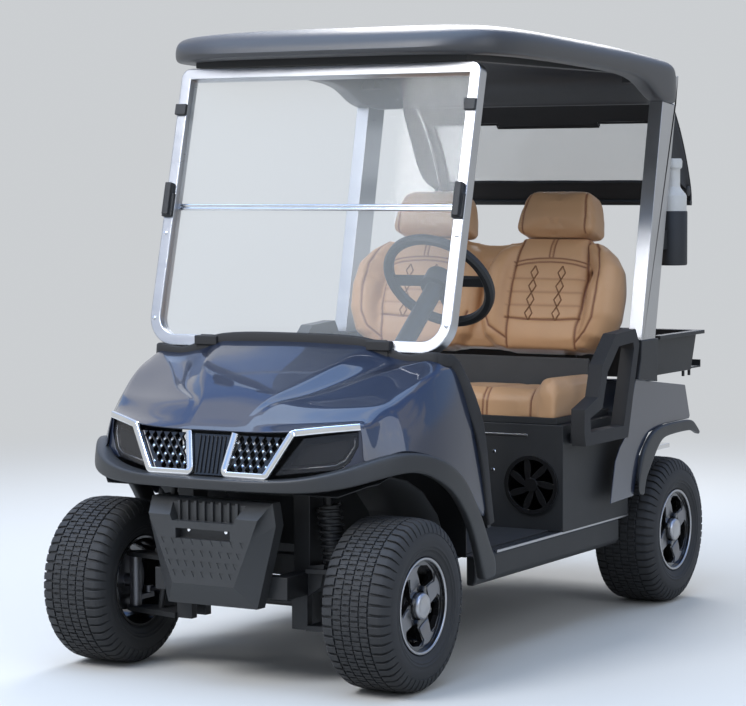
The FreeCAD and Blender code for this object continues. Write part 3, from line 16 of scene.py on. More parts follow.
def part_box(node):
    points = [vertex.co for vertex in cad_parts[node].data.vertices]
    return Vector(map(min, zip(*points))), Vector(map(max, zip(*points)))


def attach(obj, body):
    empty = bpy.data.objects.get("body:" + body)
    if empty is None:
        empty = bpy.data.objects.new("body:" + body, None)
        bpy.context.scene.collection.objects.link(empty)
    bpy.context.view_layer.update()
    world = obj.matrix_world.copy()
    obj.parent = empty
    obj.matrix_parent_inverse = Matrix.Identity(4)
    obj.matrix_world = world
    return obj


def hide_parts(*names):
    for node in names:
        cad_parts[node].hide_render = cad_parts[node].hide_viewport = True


bl_info = {
    "name": "Golf cart",
    "version": (1, 0, 0),
    "blender": (4, 5, 0),
    "location": "View3D > Sidebar > Golf cart",
    "description": "Dresses the frame of a golf cart with panels, glass, leather and wheels",
    "category": "Object",
}

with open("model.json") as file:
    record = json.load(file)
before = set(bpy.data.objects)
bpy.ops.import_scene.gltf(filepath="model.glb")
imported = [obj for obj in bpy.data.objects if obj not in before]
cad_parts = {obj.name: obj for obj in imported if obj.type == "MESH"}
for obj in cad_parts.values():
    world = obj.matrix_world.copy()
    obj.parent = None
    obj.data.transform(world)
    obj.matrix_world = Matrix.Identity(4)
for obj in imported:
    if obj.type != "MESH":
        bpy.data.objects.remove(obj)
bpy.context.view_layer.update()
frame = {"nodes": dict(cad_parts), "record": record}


def middle(node):
    """The middle of a frame node's box."""
    low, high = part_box(node)
    return (low + high) / 2


FRONT = middle("tyre_front_left").x
REAR = middle("tyre_rear_left").x
TYRE_PLANE = middle("tyre_front_left").y
AXLE = middle("tyre_front_left").z


# Settings that a user may change

class CartPaint(bpy.types.PropertyGroup):
    """Colours of the painted and moulded panels."""

    body: bpy.props.FloatVectorProperty(
        name="Body", description="Colour of the painted panels", subtype="COLOR", size=3,
        min=0, max=1, default=(0.012, 0.020, 0.046))
    moulding: bpy.props.FloatVectorProperty(
        name="Moulding", description="Colour of the bumper, sills and flares", subtype="COLOR", size=3,
        min=0, max=1, default=(0.026, 0.028, 0.031))
    roof: bpy.props.FloatVectorProperty(
        name="Roof", description="Colour of the roof", subtype="COLOR", size=3,
        min=0, max=1, default=(0.046, 0.048, 0.054))
    leather: bpy.props.FloatVectorProperty(
        name="Leather", description="Colour of the seats", subtype="COLOR", size=3,
        min=0, max=1, default=(0.56, 0.335, 0.185))
    tube: bpy.props.FloatVectorProperty(
        name="Tube", description="Colour of the silver frame tubes", subtype="COLOR", size=3,
        min=0, max=1, default=(0.46, 0.47, 0.49))


class CartDetail(bpy.types.PropertyGroup):
    """Sizes of the small repeated pieces."""

    tread_blocks: bpy.props.IntProperty(
        name="Tread blocks", description="Blocks round a tyre in one row", min=20, max=90, default=54)
    tread_depth: bpy.props.FloatProperty(
        name="Tread depth", description="Depth of the tread's grooves", unit="LENGTH",
        min=0.001, max=0.01, default=0.0045)
    stitch: bpy.props.FloatProperty(
        name="Stitch", description="Length of one stitch", unit="LENGTH",
        min=0.003, max=0.02, default=0.0075)


# Shader building

class Link:
    """A node's output, with arithmetic that adds Math nodes."""

    def __init__(self, tree, socket):
        self.tree = tree
        self.socket = socket

    def _math(self, operation, *values):
        return self.tree.node("ShaderNodeMath", {"operation": operation}, values)

    def __add__(self, other):
        return self._math("ADD", self, other)

    __radd__ = __add__

    def __sub__(self, other):
        return self._math("SUBTRACT", self, other)

    def __rsub__(self, other):
        return self._math("SUBTRACT", other, self)

    def __mul__(self, other):
        return self._math("MULTIPLY", self, other)

    __rmul__ = __mul__

    def __truediv__(self, other):
        return self._math("DIVIDE", self, other)

    def wave(self):
        return self._math("SINE", self)

    def cosine(self):
        return self._math("COSINE", self)

    def clipped(self):
        return self.tree.node("ShaderNodeClamp", {}, (self, 0.0, 1.0))

    def between(self, low, high):
        """0 below low, 1 above high, and smooth from one to the other."""
        settings = {"interpolation_type": "SMOOTHSTEP"}
        values = {"Value": self, "From Min": low, "From Max": high}
        return self.tree.node("ShaderNodeMapRange", settings, values)


class Tree:
    """A node tree that is filled node by node."""

    def __init__(self, tree):
        self.tree = tree
        tree.nodes.clear()

    def feed(self, socket, value):
        if isinstance(value, Link):
            self.tree.links.new(value.socket, socket)
        elif value is not None:
            socket.default_value = value

    def node(self, kind, settings, values, output=0):
        """A node of one type, with its settings first and then the values of its sockets."""
        made = self.tree.nodes.new(kind)
        for key, setting in settings.items():
            setattr(made, key, setting)
        pairs = values.items() if isinstance(values, dict) else enumerate(values)
        for key, value in pairs:
            self.feed(made.inputs[key], value)
        return None if output is None else Link(self, made.outputs[output])

    def mix(self, share, low, high):
        """A colour between two colours."""
        made = self.tree.nodes.new("ShaderNodeMix")
        made.data_type = "RGBA"
        self.feed(made.inputs["Factor"], share)
        for socket, value in ((made.inputs[6], low), (made.inputs[7], high)):
            if isinstance(value, tuple) and len(value) == 3:
                value = (*value, 1.0)
            self.feed(socket, value)
        return Link(self, made.outputs[2])


class Finish(Tree):
    """A material and the nodes that make it."""

    def __init__(self, name):
        self.material = bpy.data.materials.new(name)
        self.material.use_nodes = True
        super().__init__(self.material.node_tree)
        self.shader = self.tree.nodes.new("ShaderNodeBsdfPrincipled")
        out = self.tree.nodes.new("ShaderNodeOutputMaterial")
        self.tree.links.new(self.shader.outputs[0], out.inputs[0])

    def set(self, **values):
        """Set the shader's sockets, by name with underscores for spaces."""
        for key, value in values.items():
            socket = self.shader.inputs[key.replace("_", " ")]
            if isinstance(value, tuple) and len(value) == 3 and socket.type == "RGBA":
                value = (*value, 1.0)
            self.feed(socket, value)
        return self

    def place(self, scale=(1, 1, 1)):
        """Object coordinates through a Mapping node."""
        spot = self.node("ShaderNodeTexCoord", {}, (), "Object")
        return self.node("ShaderNodeMapping", {}, {"Vector": spot, "Scale": scale})

    def noise(self, scale, detail, rough=0.5, where=None):
        values = {"Vector": where or self.place(), "Scale": scale, "Detail": detail, "Roughness": rough}
        return self.node("ShaderNodeTexNoise", {}, values, "Fac")

    def cells(self, scale, feature="F1"):
        values = {"Vector": self.place(), "Scale": scale}
        return self.node("ShaderNodeTexVoronoi", {"feature": feature}, values, "Distance")

    def bump(self, height, distance, strength):
        values = {"Height": height, "Distance": distance, "Strength": strength}
        return self.node("ShaderNodeBump", {}, values)


def shade(colour, factor):
    """A colour made darker or lighter, no channel past 1."""
    return tuple(min(1.0, channel * factor) for channel in colour)


def make_paint(name, colour):
    """Metallic paint under a clear coat."""
    finish = Finish(name)
    flakes = finish.cells(2600.0)
    cloud = finish.noise(9.0, 2.0)
    tint = finish.mix((flakes * 1.3).clipped(), shade(colour, 1.5), shade(colour, 0.72))
    finish.set(
        Base_Color=finish.mix(cloud * 0.25, tint, shade(colour, 1.25)),
        Metallic=0.35, Roughness=0.36 + flakes * 0.12, Coat_Weight=1.0, Coat_Roughness=0.015, Coat_IOR=1.55)
    return finish.material


def make_moulding(name, colour, grain=900.0, rough=0.46):
    """Moulded plastic with a fine grain."""
    finish = Finish(name)
    pits = finish.cells(grain)
    wear = finish.noise(14.0, 5.0, 0.6)
    finish.set(
        Base_Color=finish.mix(wear, shade(colour, 0.86), shade(colour, 1.18)),
        Roughness=rough - 0.06 + wear * 0.12,
        Normal=finish.bump(pits, 0.0004, 0.35))
    return finish.material


def make_metal(name, colour, rough, streak):
    """Metal with fine drawing marks, stretched by the streak's scale along each axis."""
    finish = Finish(name)
    marks = finish.noise(1.0, 4.0, 0.6, finish.place(streak))
    haze = finish.noise(11.0, 3.0)
    finish.set(
        Base_Color=finish.mix(haze, shade(colour, 0.93), shade(colour, 1.05)),
        Metallic=1.0, Roughness=rough + (marks - 0.5) * 0.12 + (haze - 0.5) * 0.05,
        Normal=finish.bump(marks, 0.00002, 0.4))
    return finish.material


def make_powder(name, colour):
    """Powder coated steel, with its fine orange peel."""
    finish = Finish(name)
    peel = finish.noise(420.0, 2.0)
    dust = finish.noise(5.0, 6.0, 0.65)
    finish.set(
        Base_Color=finish.mix(dust, shade(colour, 0.85), shade(colour, 1.3)),
        Metallic=0.2, Roughness=0.42 + dust * 0.14, Normal=finish.bump(peel, 0.0003, 0.3))
    return finish.material


def make_leather(name, colour):
    """Grained leather, with painted shade along its seams and creases."""
    finish = Finish(name)
    warp = finish.noise(60.0, 2.0)
    grain = finish.cells(520.0, "SMOOTH_F1")
    pores = finish.noise(900.0, 2.0)
    tone = finish.noise(7.0, 4.0, 0.55)
    height = grain * 0.8 + pores * 0.3 + warp * 0.4
    # painted shade: the seam attribute darkens the pressed grooves towards a deep brown
    seam = finish.node("ShaderNodeAttribute", {"attribute_name": "seam"}, (), "Fac")
    hide = finish.mix(tone * 0.8 + grain * 0.25, shade(colour, 0.88), shade(colour, 1.12))
    finish.set(
        Base_Color=finish.mix(seam.clipped(), hide, (0.17, 0.055, 0.025)),
        Roughness=0.40 + tone * 0.10 + grain * 0.08, Sheen_Weight=0.08,
        Normal=finish.bump(height, 0.0006, 0.5))
    return finish.material


def make_rubber(name, colour):
    """Tyre rubber with scuffed, dusty faces."""
    finish = Finish(name)
    dust = finish.noise(26.0, 6.0, 0.65)
    grit = finish.noise(700.0, 2.0)
    finish.set(
        Base_Color=finish.mix(dust, shade(colour, 0.75), shade(colour, 1.6)),
        Roughness=0.62 + dust * 0.2, Normal=finish.bump(grit, 0.0003, 0.35))
    return finish.material


def make_pane(name, tint, alpha):
    """Clear sheet: a thin gloss over what lies behind it."""
    finish = Finish(name)
    film = finish.noise(3.0, 4.0, 0.6)
    finish.set(
        Base_Color=(*tint, 1.0), Roughness=0.03 + film * 0.03, Alpha=alpha + film * 0.03,
        Specular_IOR_Level=0.6, IOR=1.49)
    return finish.material


def make_gloss(name, colour, rough=0.08):
    """Smooth gloss plastic with a coat."""
    finish = Finish(name)
    haze = finish.noise(30.0, 3.0)
    finish.set(
        Base_Color=finish.mix(haze, shade(colour, 0.9), shade(colour, 1.15)),
        Roughness=rough + haze * 0.05, Coat_Weight=0.6, Coat_Roughness=0.03)
    return finish.material


def make_fabric(name, colour):
    """Coated weave of the rain hood."""
    finish = Finish(name)
    warp, weft = (
        finish.node("ShaderNodeTexWave", {"wave_type": "BANDS", "bands_direction": axis},
                    {"Vector": finish.place(), "Scale": 260.0, "Distortion": 0.4})
        for axis in "YZ")
    cloud = finish.noise(9.0, 5.0)
    finish.set(
        Base_Color=finish.mix(cloud, shade(colour, 0.8), shade(colour, 1.3)),
        Roughness=0.7 + cloud * 0.12, Normal=finish.bump(warp + weft, 0.0005, 0.3))
    return finish.material


MATERIALS = {}


def make_materials():
    """Every finish of the cart, kept by name."""
    paint = bpy.context.scene.cart_paint
    body = tuple(paint.body)
    moulding = tuple(paint.moulding)
    MATERIALS.update({
        "paint": make_paint("body_paint", body),
        "roof": make_moulding("roof_moulding", tuple(paint.roof), 700.0, 0.40),
        "moulding": make_moulding("black_moulding", moulding),
        "dark": make_moulding("dark_moulding", shade(moulding, 0.55), 800.0, 0.55),
        "guard": make_moulding("guard_moulding", shade(moulding, 1.25), 600.0, 0.42),
        "steel": make_powder("black_steel", (0.020, 0.021, 0.023)),
        "arm": make_metal("arm_steel", (0.20, 0.20, 0.21), 0.45, (30, 3, 3)),
        "tube": make_metal("silver_tube", tuple(paint.tube), 0.30, (4, 4, 60)),
        "polished": make_metal("polished_plate", (0.74, 0.74, 0.75), 0.12, (3, 90, 3)),
        "bright": make_metal("bright_trim", (0.86, 0.87, 0.88), 0.07, (9, 9, 9)),
        "leather": make_leather("tan_leather", tuple(paint.leather)),
        "thread": make_rubber("seat_thread", (0.30, 0.15, 0.07)),
        "lacing": make_rubber("seat_lacing", (0.20, 0.10, 0.05)),
        "rubber": make_rubber("tyre_rubber", (0.021, 0.022, 0.024)),
        "seal": make_rubber("seal_rubber", (0.016, 0.016, 0.017)),
        "wheel": make_gloss("wheel_black", (0.012, 0.012, 0.013), 0.10),
        "machined": make_metal("machined_face", (0.22, 0.22, 0.23), 0.36, (40, 40, 40)),
        "satin": make_metal("satin_lip", (0.42, 0.42, 0.43), 0.30, (9, 90, 9)),
        "pane": make_pane("clear_pane", (0.75, 0.80, 0.84), 0.10),
        "window": make_pane("hood_window", (0.80, 0.83, 0.85), 0.32),
        "lens": make_pane("smoked_lens", (0.03, 0.03, 0.034), 0.30),
        "panel": make_moulding("panel_grey", shade(moulding, 1.9), 500.0, 0.5),
        "lamp_black": make_gloss("lamp_black", (0.010, 0.010, 0.011)),
        "lamp_red": make_gloss("lamp_red", (0.30, 0.012, 0.010), 0.12),
        "fabric": make_fabric("hood_fabric", (0.022, 0.022, 0.024)),
        "flask": make_moulding("flask_white", (0.60, 0.61, 0.62), 900.0, 0.35),
        "mat": make_rubber("floor_mat", (0.020, 0.020, 0.021)),
    })


# Mesh building

WELD = 1e-5  # points closer than this become one
FLAT = 0.6  # degrees between the faces of a frame node that are merged


def mesh_from(name, verts, faces):
    """A mesh through points and the faces between them."""
    mesh = bpy.data.meshes.new(name)
    mesh.from_pydata([tuple(v) for v in verts], [], faces)
    mesh.validate()
    mesh.update()
    return mesh


def outward(mesh):
    """Merge doubles and turn every face outwards."""
    work = bmesh.new()
    work.from_mesh(mesh)
    bmesh.ops.remove_doubles(work, verts=work.verts, dist=WELD)
    bmesh.ops.recalc_face_normals(work, faces=work.faces)
    work.to_mesh(mesh)
    work.free()
    return mesh


def grid(rows, close_rows=False, close_across=False, flip=False):
    """Vertices and quads through rows of equally many points."""
    verts = [point for row in rows for point in row]
    count = len(rows[0])
    faces = []
    last_row = len(rows) if close_rows else len(rows) - 1
    last_across = count if close_across else count - 1
    for i in range(last_row):
        for j in range(last_across):
            a = i * count + j
            b = i * count + (j + 1) % count
            c = ((i + 1) % len(rows)) * count + (j + 1) % count
            d = ((i + 1) % len(rows)) * count + j
            faces.append((a, d, c, b) if flip else (a, b, c, d))
    return verts, faces


def closed_grid(rows):
    """A solid through closed sections, with flat ends."""
    verts, faces = grid(rows, close_across=True)
    count = len(rows[0])
    faces.append(tuple(reversed(range(count))))
    start = (len(rows) - 1) * count
    faces.append(tuple(range(start, start + count)))
    return verts, faces


def joined(*parts):
    """Several vertex and face lists as one."""
    verts, faces = [], []
    for part_verts, part_faces in parts:
        start = len(verts)
        verts.extend(part_verts)
        faces.extend(tuple(index + start for index in face) for face in part_faces)
    return verts, faces


def mirrored(spots):
    """Points on the cart's other side."""
    return [Vector((x, -y, z)) for x, y, z in spots]


def mirror_parts(part):
    """A part and its mirror image on the cart's other side."""
    verts, faces = part
    return joined(part, (mirrored(verts), [tuple(reversed(face)) for face in faces]))


def curve_through(points, steps):
    """A smooth line through points, with equally many steps from each to the next."""
    spots = [Vector(p) for p in points]
    line = []
    for index in range(len(spots) - 1):
        start, end = spots[index], spots[index + 1]
        before = spots[index - 1] if index else start * 2 - end
        after = spots[index + 2] if index + 2 < len(spots) else end * 2 - start
        for step in range(steps):
            t = step / steps
            line.append(0.5 * (
                2 * start + (end - before) * t + (2 * before - 5 * start + 4 * end - after) * t * t
                + (3 * start - before - 3 * end + after) * t * t * t))
    return line + [spots[-1].copy()]


def round_corners(points, radius, steps, closed=False):
    """Straight runs joined by arcs; radius is one number or one for each corner."""
    spots = [Vector(p) for p in points]
    count = len(spots)
    radii = radius if isinstance(radius, tuple) else [radius] * count
    line = []
    for index, corner in enumerate(spots):
        if not closed and index in (0, count - 1) or radii[index] <= 0:
            line.append(corner.copy())
            continue
        back = (spots[index - 1] - corner).normalized()
        onward = (spots[(index + 1) % count] - corner).normalized()
        half = back.angle(onward) / 2
        reach = radii[index] / math.tan(half)
        centre = corner + (back + onward).normalized() * (radii[index] / math.sin(half))
        start = corner + back * reach - centre
        end = corner + onward * reach - centre
        arc = start.angle(end)
        for step in range(steps + 1):
            t = step / steps
            if arc < 1e-4:
                line.append(centre + start)
                continue
            spoke = (start * math.sin((1 - t) * arc) + end * math.sin(t * arc)) / math.sin(arc)
            line.append(centre + spoke)
    return line


def rounded(corners, radius, steps):
    """A closed outline in a plane with its corners rounded."""
    spots = round_corners([(a, b, 0) for a, b in corners], radius, steps, closed=True)
    return [(spot.x, spot.y) for spot in spots]


def circle(wide, sides, high=None):
    """Points round a circle, or round an ellipse where its height is given too."""
    high = high or wide
    turns = [2 * math.pi * k / sides for k in range(sides)]
    return [(wide * math.cos(turn), high * math.sin(turn)) for turn in turns]


def stacked(profile, sides):
    """A small piece that stands on its foot, through sections given by radius and height."""
    return closed_grid([
        [Vector((x, y, height)) for x, y in circle(radius, sides)] for radius, height in profile])


def sweep(path, section, closed=False, up=(0, 0, 1)):
    """A section carried along a path; its first number runs sideways and its second along up."""
    rows = []
    count = len(path)
    up = Vector(up)
    for index, spot in enumerate(path):
        before = path[index - 1] if closed or index else path[0]
        after = path[(index + 1) % count] if closed or index + 1 < count else path[-1]
        heading = (after - before).normalized()
        side = heading.cross(up).normalized()
        top = side.cross(heading).normalized()
        rows.append([spot + side * a + top * b for a, b in section])
    if closed:
        return grid(rows, close_rows=True, close_across=True)
    return closed_grid(rows)


def turned(profile, centre, sides, axis="y", close=True):
    """A profile of (along the axis, radius) turned round the Y or Z axis through a centre."""
    rows = []
    for k in range(sides):
        turn = 2 * math.pi * k / sides
        row = []
        for along, radius in profile:
            a, b = radius * math.cos(turn), radius * math.sin(turn)
            row.append(centre + Vector((a, along, b) if axis == "y" else (a, b, along)))
        rows.append(row)
    return grid(rows, close_rows=True, close_across=close)


def blocks(corners):
    """Plain blocks, each from its lowest to its highest corner."""
    parts = []
    for (x0, y0, z0), (x1, y1, z1) in corners:
        outline = ((x0, y0), (x1, y0), (x1, y1), (x0, y1))
        parts.append(closed_grid([[Vector((x, y, z)) for x, y in outline] for z in (z0, z1)]))
    return joined(*parts)


# Repeated pieces

class Pattern(Tree):
    """A Geometry Nodes tree with named inputs, that ends in plain mesh of one material."""

    def __init__(self, name, **inputs):
        super().__init__(bpy.data.node_groups.new(name, "GeometryNodeTree"))
        sockets = self.tree.interface
        sockets.new_socket("Geometry", in_out="INPUT", socket_type="NodeSocketGeometry")
        for label, value in {**inputs, "Material": None}.items():
            kind = {int: "Int", float: "Float"}.get(type(value), label)
            socket = sockets.new_socket(label, in_out="INPUT", socket_type="NodeSocket" + kind)
            if value is not None:
                socket.default_value = value
        sockets.new_socket("Geometry", in_out="OUTPUT", socket_type="NodeSocketGeometry")
        self.entry = self.tree.nodes.new("NodeGroupInput")

    def input(self, label):
        return Link(self, self.entry.outputs[label])

    def vector(self, x, y, z):
        return self.node("ShaderNodeCombineXYZ", {}, (x, y, z))

    def end(self, geometry):
        plain = self.node("GeometryNodeRealizeInstances", {}, (geometry,))
        values = {"Geometry": plain, "Material": self.input("Material")}
        done = self.node("GeometryNodeSetMaterial", {}, values)
        self.feed(self.tree.nodes.new("NodeGroupOutput").inputs[0], done)
        return self.tree


def ring_pattern():
    """The piece many times round the Y axis, its Z outwards."""
    ring = Pattern("ring", Count=12, Radius=0.1, Phase=0.0)
    count = ring.input("Count")
    points = ring.node("GeometryNodePoints", {}, (count,))
    turn = (ring.node("GeometryNodeInputIndex", {}, ()) + ring.input("Phase")) / count * (2 * math.pi)
    radius = ring.input("Radius")
    spot = ring.vector(radius * turn.cosine(), 0.0, radius * turn.wave())
    points = ring.node("GeometryNodeSetPosition", {}, {"Geometry": points, "Position": spot})
    return ring.end(ring.node("GeometryNodeInstanceOnPoints", {}, {
        "Points": points, "Instance": ring.input("Geometry"),
        "Rotation": ring.vector(0.0, math.pi / 2 - turn, 0.0)}))


THREAD = 0.0008  # half the thickness of a stitch


def stitch_pattern():
    """Short rounded threads along lines, a pitch apart."""
    stitch = Pattern("stitch", Pitch=0.0075, Width=THREAD)
    line = stitch.node("GeometryNodeMeshToCurve", {}, (stitch.input("Geometry"),))
    pitch = stitch.input("Pitch")
    line = stitch.node("GeometryNodeResampleCurve", {"mode": "LENGTH"}, {"Curve": line, "Length": pitch})
    points = stitch.node("GeometryNodeCurveToPoints", {"mode": "EVALUATED"}, {"Curve": line})
    tangent = Link(stitch, points.socket.node.outputs["Tangent"])
    turn = stitch.node("FunctionNodeAlignEulerToVector", {"axis": "Z"}, {"Vector": tangent})
    width = stitch.input("Width")
    thread = stitch.node("GeometryNodeMeshUVSphere", {}, {"Segments": 6, "Rings": 4, "Radius": 1.0})
    size = stitch.vector(width, width, pitch * 0.36)
    return stitch.end(stitch.node("GeometryNodeInstanceOnPoints", {}, {
        "Points": points, "Instance": thread, "Rotation": turn, "Scale": size}))


def scatter_pattern():
    """A piece on every point, its Z along the point's aim."""
    scatter = Pattern("scatter", Object=None)
    aim = scatter.node("GeometryNodeInputNamedAttribute", {"data_type": "FLOAT_VECTOR"}, ("aim",))
    piece = scatter.node("GeometryNodeObjectInfo", {}, {"Object": scatter.input("Object")}, "Geometry")
    turn = scatter.node("FunctionNodeAlignEulerToVector", {"axis": "Z"}, {"Vector": aim})
    return scatter.end(scatter.node("GeometryNodeInstanceOnPoints", {}, {
        "Points": scatter.input("Geometry"), "Instance": piece, "Rotation": turn}))


def grow(tree, part, finish, **values):
    """The mesh that a pattern makes from a part."""
    mesh = part if isinstance(part, bpy.types.Mesh) else mesh_from("host", *part)
    host = bpy.data.objects.new("host", mesh)
    bpy.context.collection.objects.link(host)
    pattern = host.modifiers.new("pattern", "NODES")
    pattern.node_group = tree
    values["Material"] = MATERIALS[finish]
    for socket in tree.interface.items_tree:
        if socket.in_out == "INPUT" and socket.name in values:
            pattern[socket.identifier] = values[socket.name]
    graph = bpy.context.evaluated_depsgraph_get()
    graph.update()
    made = bpy.data.meshes.new_from_object(host.evaluated_get(graph))
    bpy.data.objects.remove(host)
    return made


def merged(name, meshes):
    """Several meshes as one."""
    work = bmesh.new()
    for mesh in meshes:
        work.from_mesh(mesh)
    whole = bpy.data.meshes.new(name)
    work.to_mesh(whole)
    work.free()
    return whole


def moved(mesh, offset):
    """The same mesh, after a shift of all its points."""
    mesh.transform(Matrix.Translation(offset))
    return mesh


def scattered(part, spots, finish):
    """A part on each of many (place, direction) spots, as one mesh."""
    points = mesh_from("spots", [place for place, aim in spots], [])
    held = points.attributes.new("aim", "FLOAT_VECTOR", "POINT")
    held.data.foreach_set("vector", [number for place, aim in spots for number in aim])
    piece = bpy.data.objects.new("piece", mesh_from("piece", *part))
    bpy.context.collection.objects.link(piece)
    made = grow(scatter_pattern(), points, finish, Object=piece)
    bpy.data.objects.remove(piece)
    return made


def stitched(lines):
    """Threads along several lines, as one mesh; lines that missed their pad are left out."""
    verts, edges = [], []
    for line in lines:
        if len(line) > 1:
            start = len(verts)
            verts.extend(line)
            edges.extend((start + k, start + k + 1) for k in range(len(line) - 1))
    mesh = bpy.data.meshes.new("lines")
    mesh.from_pydata([tuple(v) for v in verts], edges, [])
    pitch = bpy.context.scene.cart_detail.stitch
    return grow(stitch_pattern(), mesh, "thread", Pitch=pitch, Width=THREAD)


# Putting pieces in the scene

def put(name, part, finish, body="chassis", sharp=None, replaces=(), slot=None, closed=True):
    """A piece of the cart as a new object, riding on one body; edges past the sharp angle stay sharp."""
    mesh = mesh_from(name, *part) if isinstance(part, tuple) else part
    if closed:
        outward(mesh)
    obj = bpy.data.objects.new(name, mesh)
    bpy.context.collection.objects.link(obj)
    mesh.materials.clear()
    mesh.materials.append(MATERIALS[finish])
    mesh.shade_smooth()
    if sharp is not None:
        mesh.set_sharp_from_angle(angle=math.radians(sharp))
    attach(obj, body)
    if replaces:
        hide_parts(*replaces)
    return obj


def soften(obj, width, segments=3, angle=30):
    """Rounded edges, with flat faces kept flat."""
    bevel = obj.modifiers.new("edges", "BEVEL")
    bevel.width = width
    bevel.segments = segments
    bevel.limit_method = "ANGLE"
    bevel.angle_limit = math.radians(angle)
    bevel.use_clamp_overlap = True
    bevel.harden_normals = False
    even = obj.modifiers.new("shading", "WEIGHTED_NORMAL")
    even.keep_sharp = True
    return obj


def subdivide(obj, levels):
    """Smooth surface through a coarse one."""
    sub = obj.modifiers.new("smooth", "SUBSURF")
    sub.levels = levels
    sub.render_levels = levels
    return obj


def thicken(obj, thickness):
    """A wall on the inside of a surface."""
    wall = obj.modifiers.new("wall", "SOLIDIFY")
    wall.thickness = thickness
    wall.offset = -1
    wall.use_even_offset = True
    return obj


def settle(obj):
    """Turn a piece's modifiers into plain mesh."""
    graph = bpy.context.evaluated_depsgraph_get()
    graph.update()
    mesh = bpy.data.meshes.new_from_object(obj.evaluated_get(graph))
    obj.modifiers.clear()
    old = obj.data
    obj.data = mesh
    bpy.data.meshes.remove(old)
    return obj


def body_of(node):
    """The name of the body that a frame node rides on."""
    for name, nodes in frame["record"]["behaviour"]["bodies"].items():
        if node in nodes:
            return name
    raise ValueError(node)


def dress(node, finish, edge=0.0015, segments=2, angle=28, name=None):
    """A merged copy of a frame node with rounded edges, shown in the node's place."""
    mesh = frame["nodes"][node].data.copy()
    work = bmesh.new()
    work.from_mesh(mesh)
    bmesh.ops.remove_doubles(work, verts=work.verts, dist=2 * WELD)
    bmesh.ops.dissolve_limit(
        work, angle_limit=math.radians(FLAT), verts=work.verts, edges=work.edges)
    work.to_mesh(mesh)
    work.free()
    obj = put(name or node + "_dressed", mesh, finish, body_of(node), replaces=(node,), closed=False)
    if edge:
        soften(obj, edge, segments, angle)
    return obj


# Painted body

def ahead(x, y, z):
    """A point given forward of the front axle, in millimetres."""
    return Vector((FRONT + x / 1000, y / 1000, z / 1000))


def behind(x, y, z):
    """A point given forward of the rear axle, in millimetres."""
    return Vector((REAR + x / 1000, y / 1000, z / 1000))


COWL = (
    # from the nose to the windshield; each row runs from the middle over ridge, valley, crest and
    # shoulder down the side to the waist
    ((186, 0, 681), (186, 75, 681), (186, 96, 681), (186, 118, 681), (181, 238, 685),
     (131, 316, 693), (80, 392, 701), (85, 402, 655), (92, 406, 606)),
    ((176, 0, 691), (176, 76, 691), (175, 97, 691), (174, 120, 690), (163, 240, 691),
     (116, 320, 699), (66, 400, 706), (71, 413, 656), (78, 419, 608)),
    ((150, 0, 705), (150, 80, 706), (150, 100, 706), (148, 124, 705), (132, 242, 701),
     (90, 326, 706), (42, 408, 712), (45, 426, 660), (50, 434, 616)),
    ((94, 0, 742), (93, 92, 744), (92, 108, 742), (90, 124, 744), (76, 235, 737),
     (45, 330, 736), (6, 414, 739), (8, 446, 680), (10, 462, 628)),
    ((52, 0, 768), (50, 118, 768), (47, 146, 755), (45, 178, 758), (35, 280, 748),
     (12, 360, 746), (-12, 424, 748), (-10, 462, 688), (-10, 480, 632)),
    ((6, 0, 792), (4, 152, 789), (0, 202, 767), (-2, 248, 772), (-14, 322, 763),
     (-30, 388, 762), (-48, 438, 762), (-48, 480, 694), (-50, 496, 624)),
    ((-60, 0, 825), (-63, 192, 821), (-66, 240, 789), (-66, 292, 798), (-76, 352, 792),
     (-88, 410, 790), (-100, 455, 790), (-100, 500, 706), (-100, 514, 607)),
    ((-125, 0, 854), (-125, 214, 849), (-128, 280, 812), (-126, 342, 823), (-134, 398, 818),
     (-144, 438, 817), (-156, 466, 815), (-158, 513, 714), (-160, 527, 580)),
    ((-180, 0, 877), (-180, 222, 871), (-182, 322, 832), (-180, 398, 842), (-187, 434, 839),
     (-196, 456, 837), (-212, 472, 829), (-224, 522, 708), (-235, 534, 528)),
    ((-206, 0, 888), (-206, 226, 881), (-207, 342, 842), (-206, 424, 850), (-214, 446, 848),
     (-226, 460, 843), (-255, 476, 829), (-276, 527, 694), (-300, 536, 448)),
    ((-219, 0, 893), (-219, 228, 886), (-219, 350, 846), (-219, 434, 852), (-226, 450, 851),
     (-242, 463, 845), (-281, 478, 824), (-309, 529, 672), (-364, 536, 394)),
)
COWL_CREASES = {1: 0.75, 2: 0.25, 3: 0.8, 6: 0.35}  # how sharp some columns are, from the middle
SEAL_SECTION = ((-0.011, -0.018), (0.011, -0.018), (0.009, 0.016), (-0.009, 0.016))


def whole_rows(table):
    """Rows of a half table mirrored into whole rows, from the right side to the left."""
    rows = []
    for entry in table:
        left = [ahead(*spot) for spot in entry]
        rows.append(mirrored(left[:0:-1]) + left)
    return rows


def crease_columns(mesh, count, creases):
    """Sharpen the lines along some columns of a mesh with so many points across."""
    layer = mesh.attributes.new("crease_edge", "FLOAT", "EDGE")
    for edge in mesh.edges:
        first, second = edge.vertices
        if abs(first - second) != count:
            continue
        weight = creases.get(abs(first % count - count // 2))
        if weight:
            layer.data[edge.index].value = weight


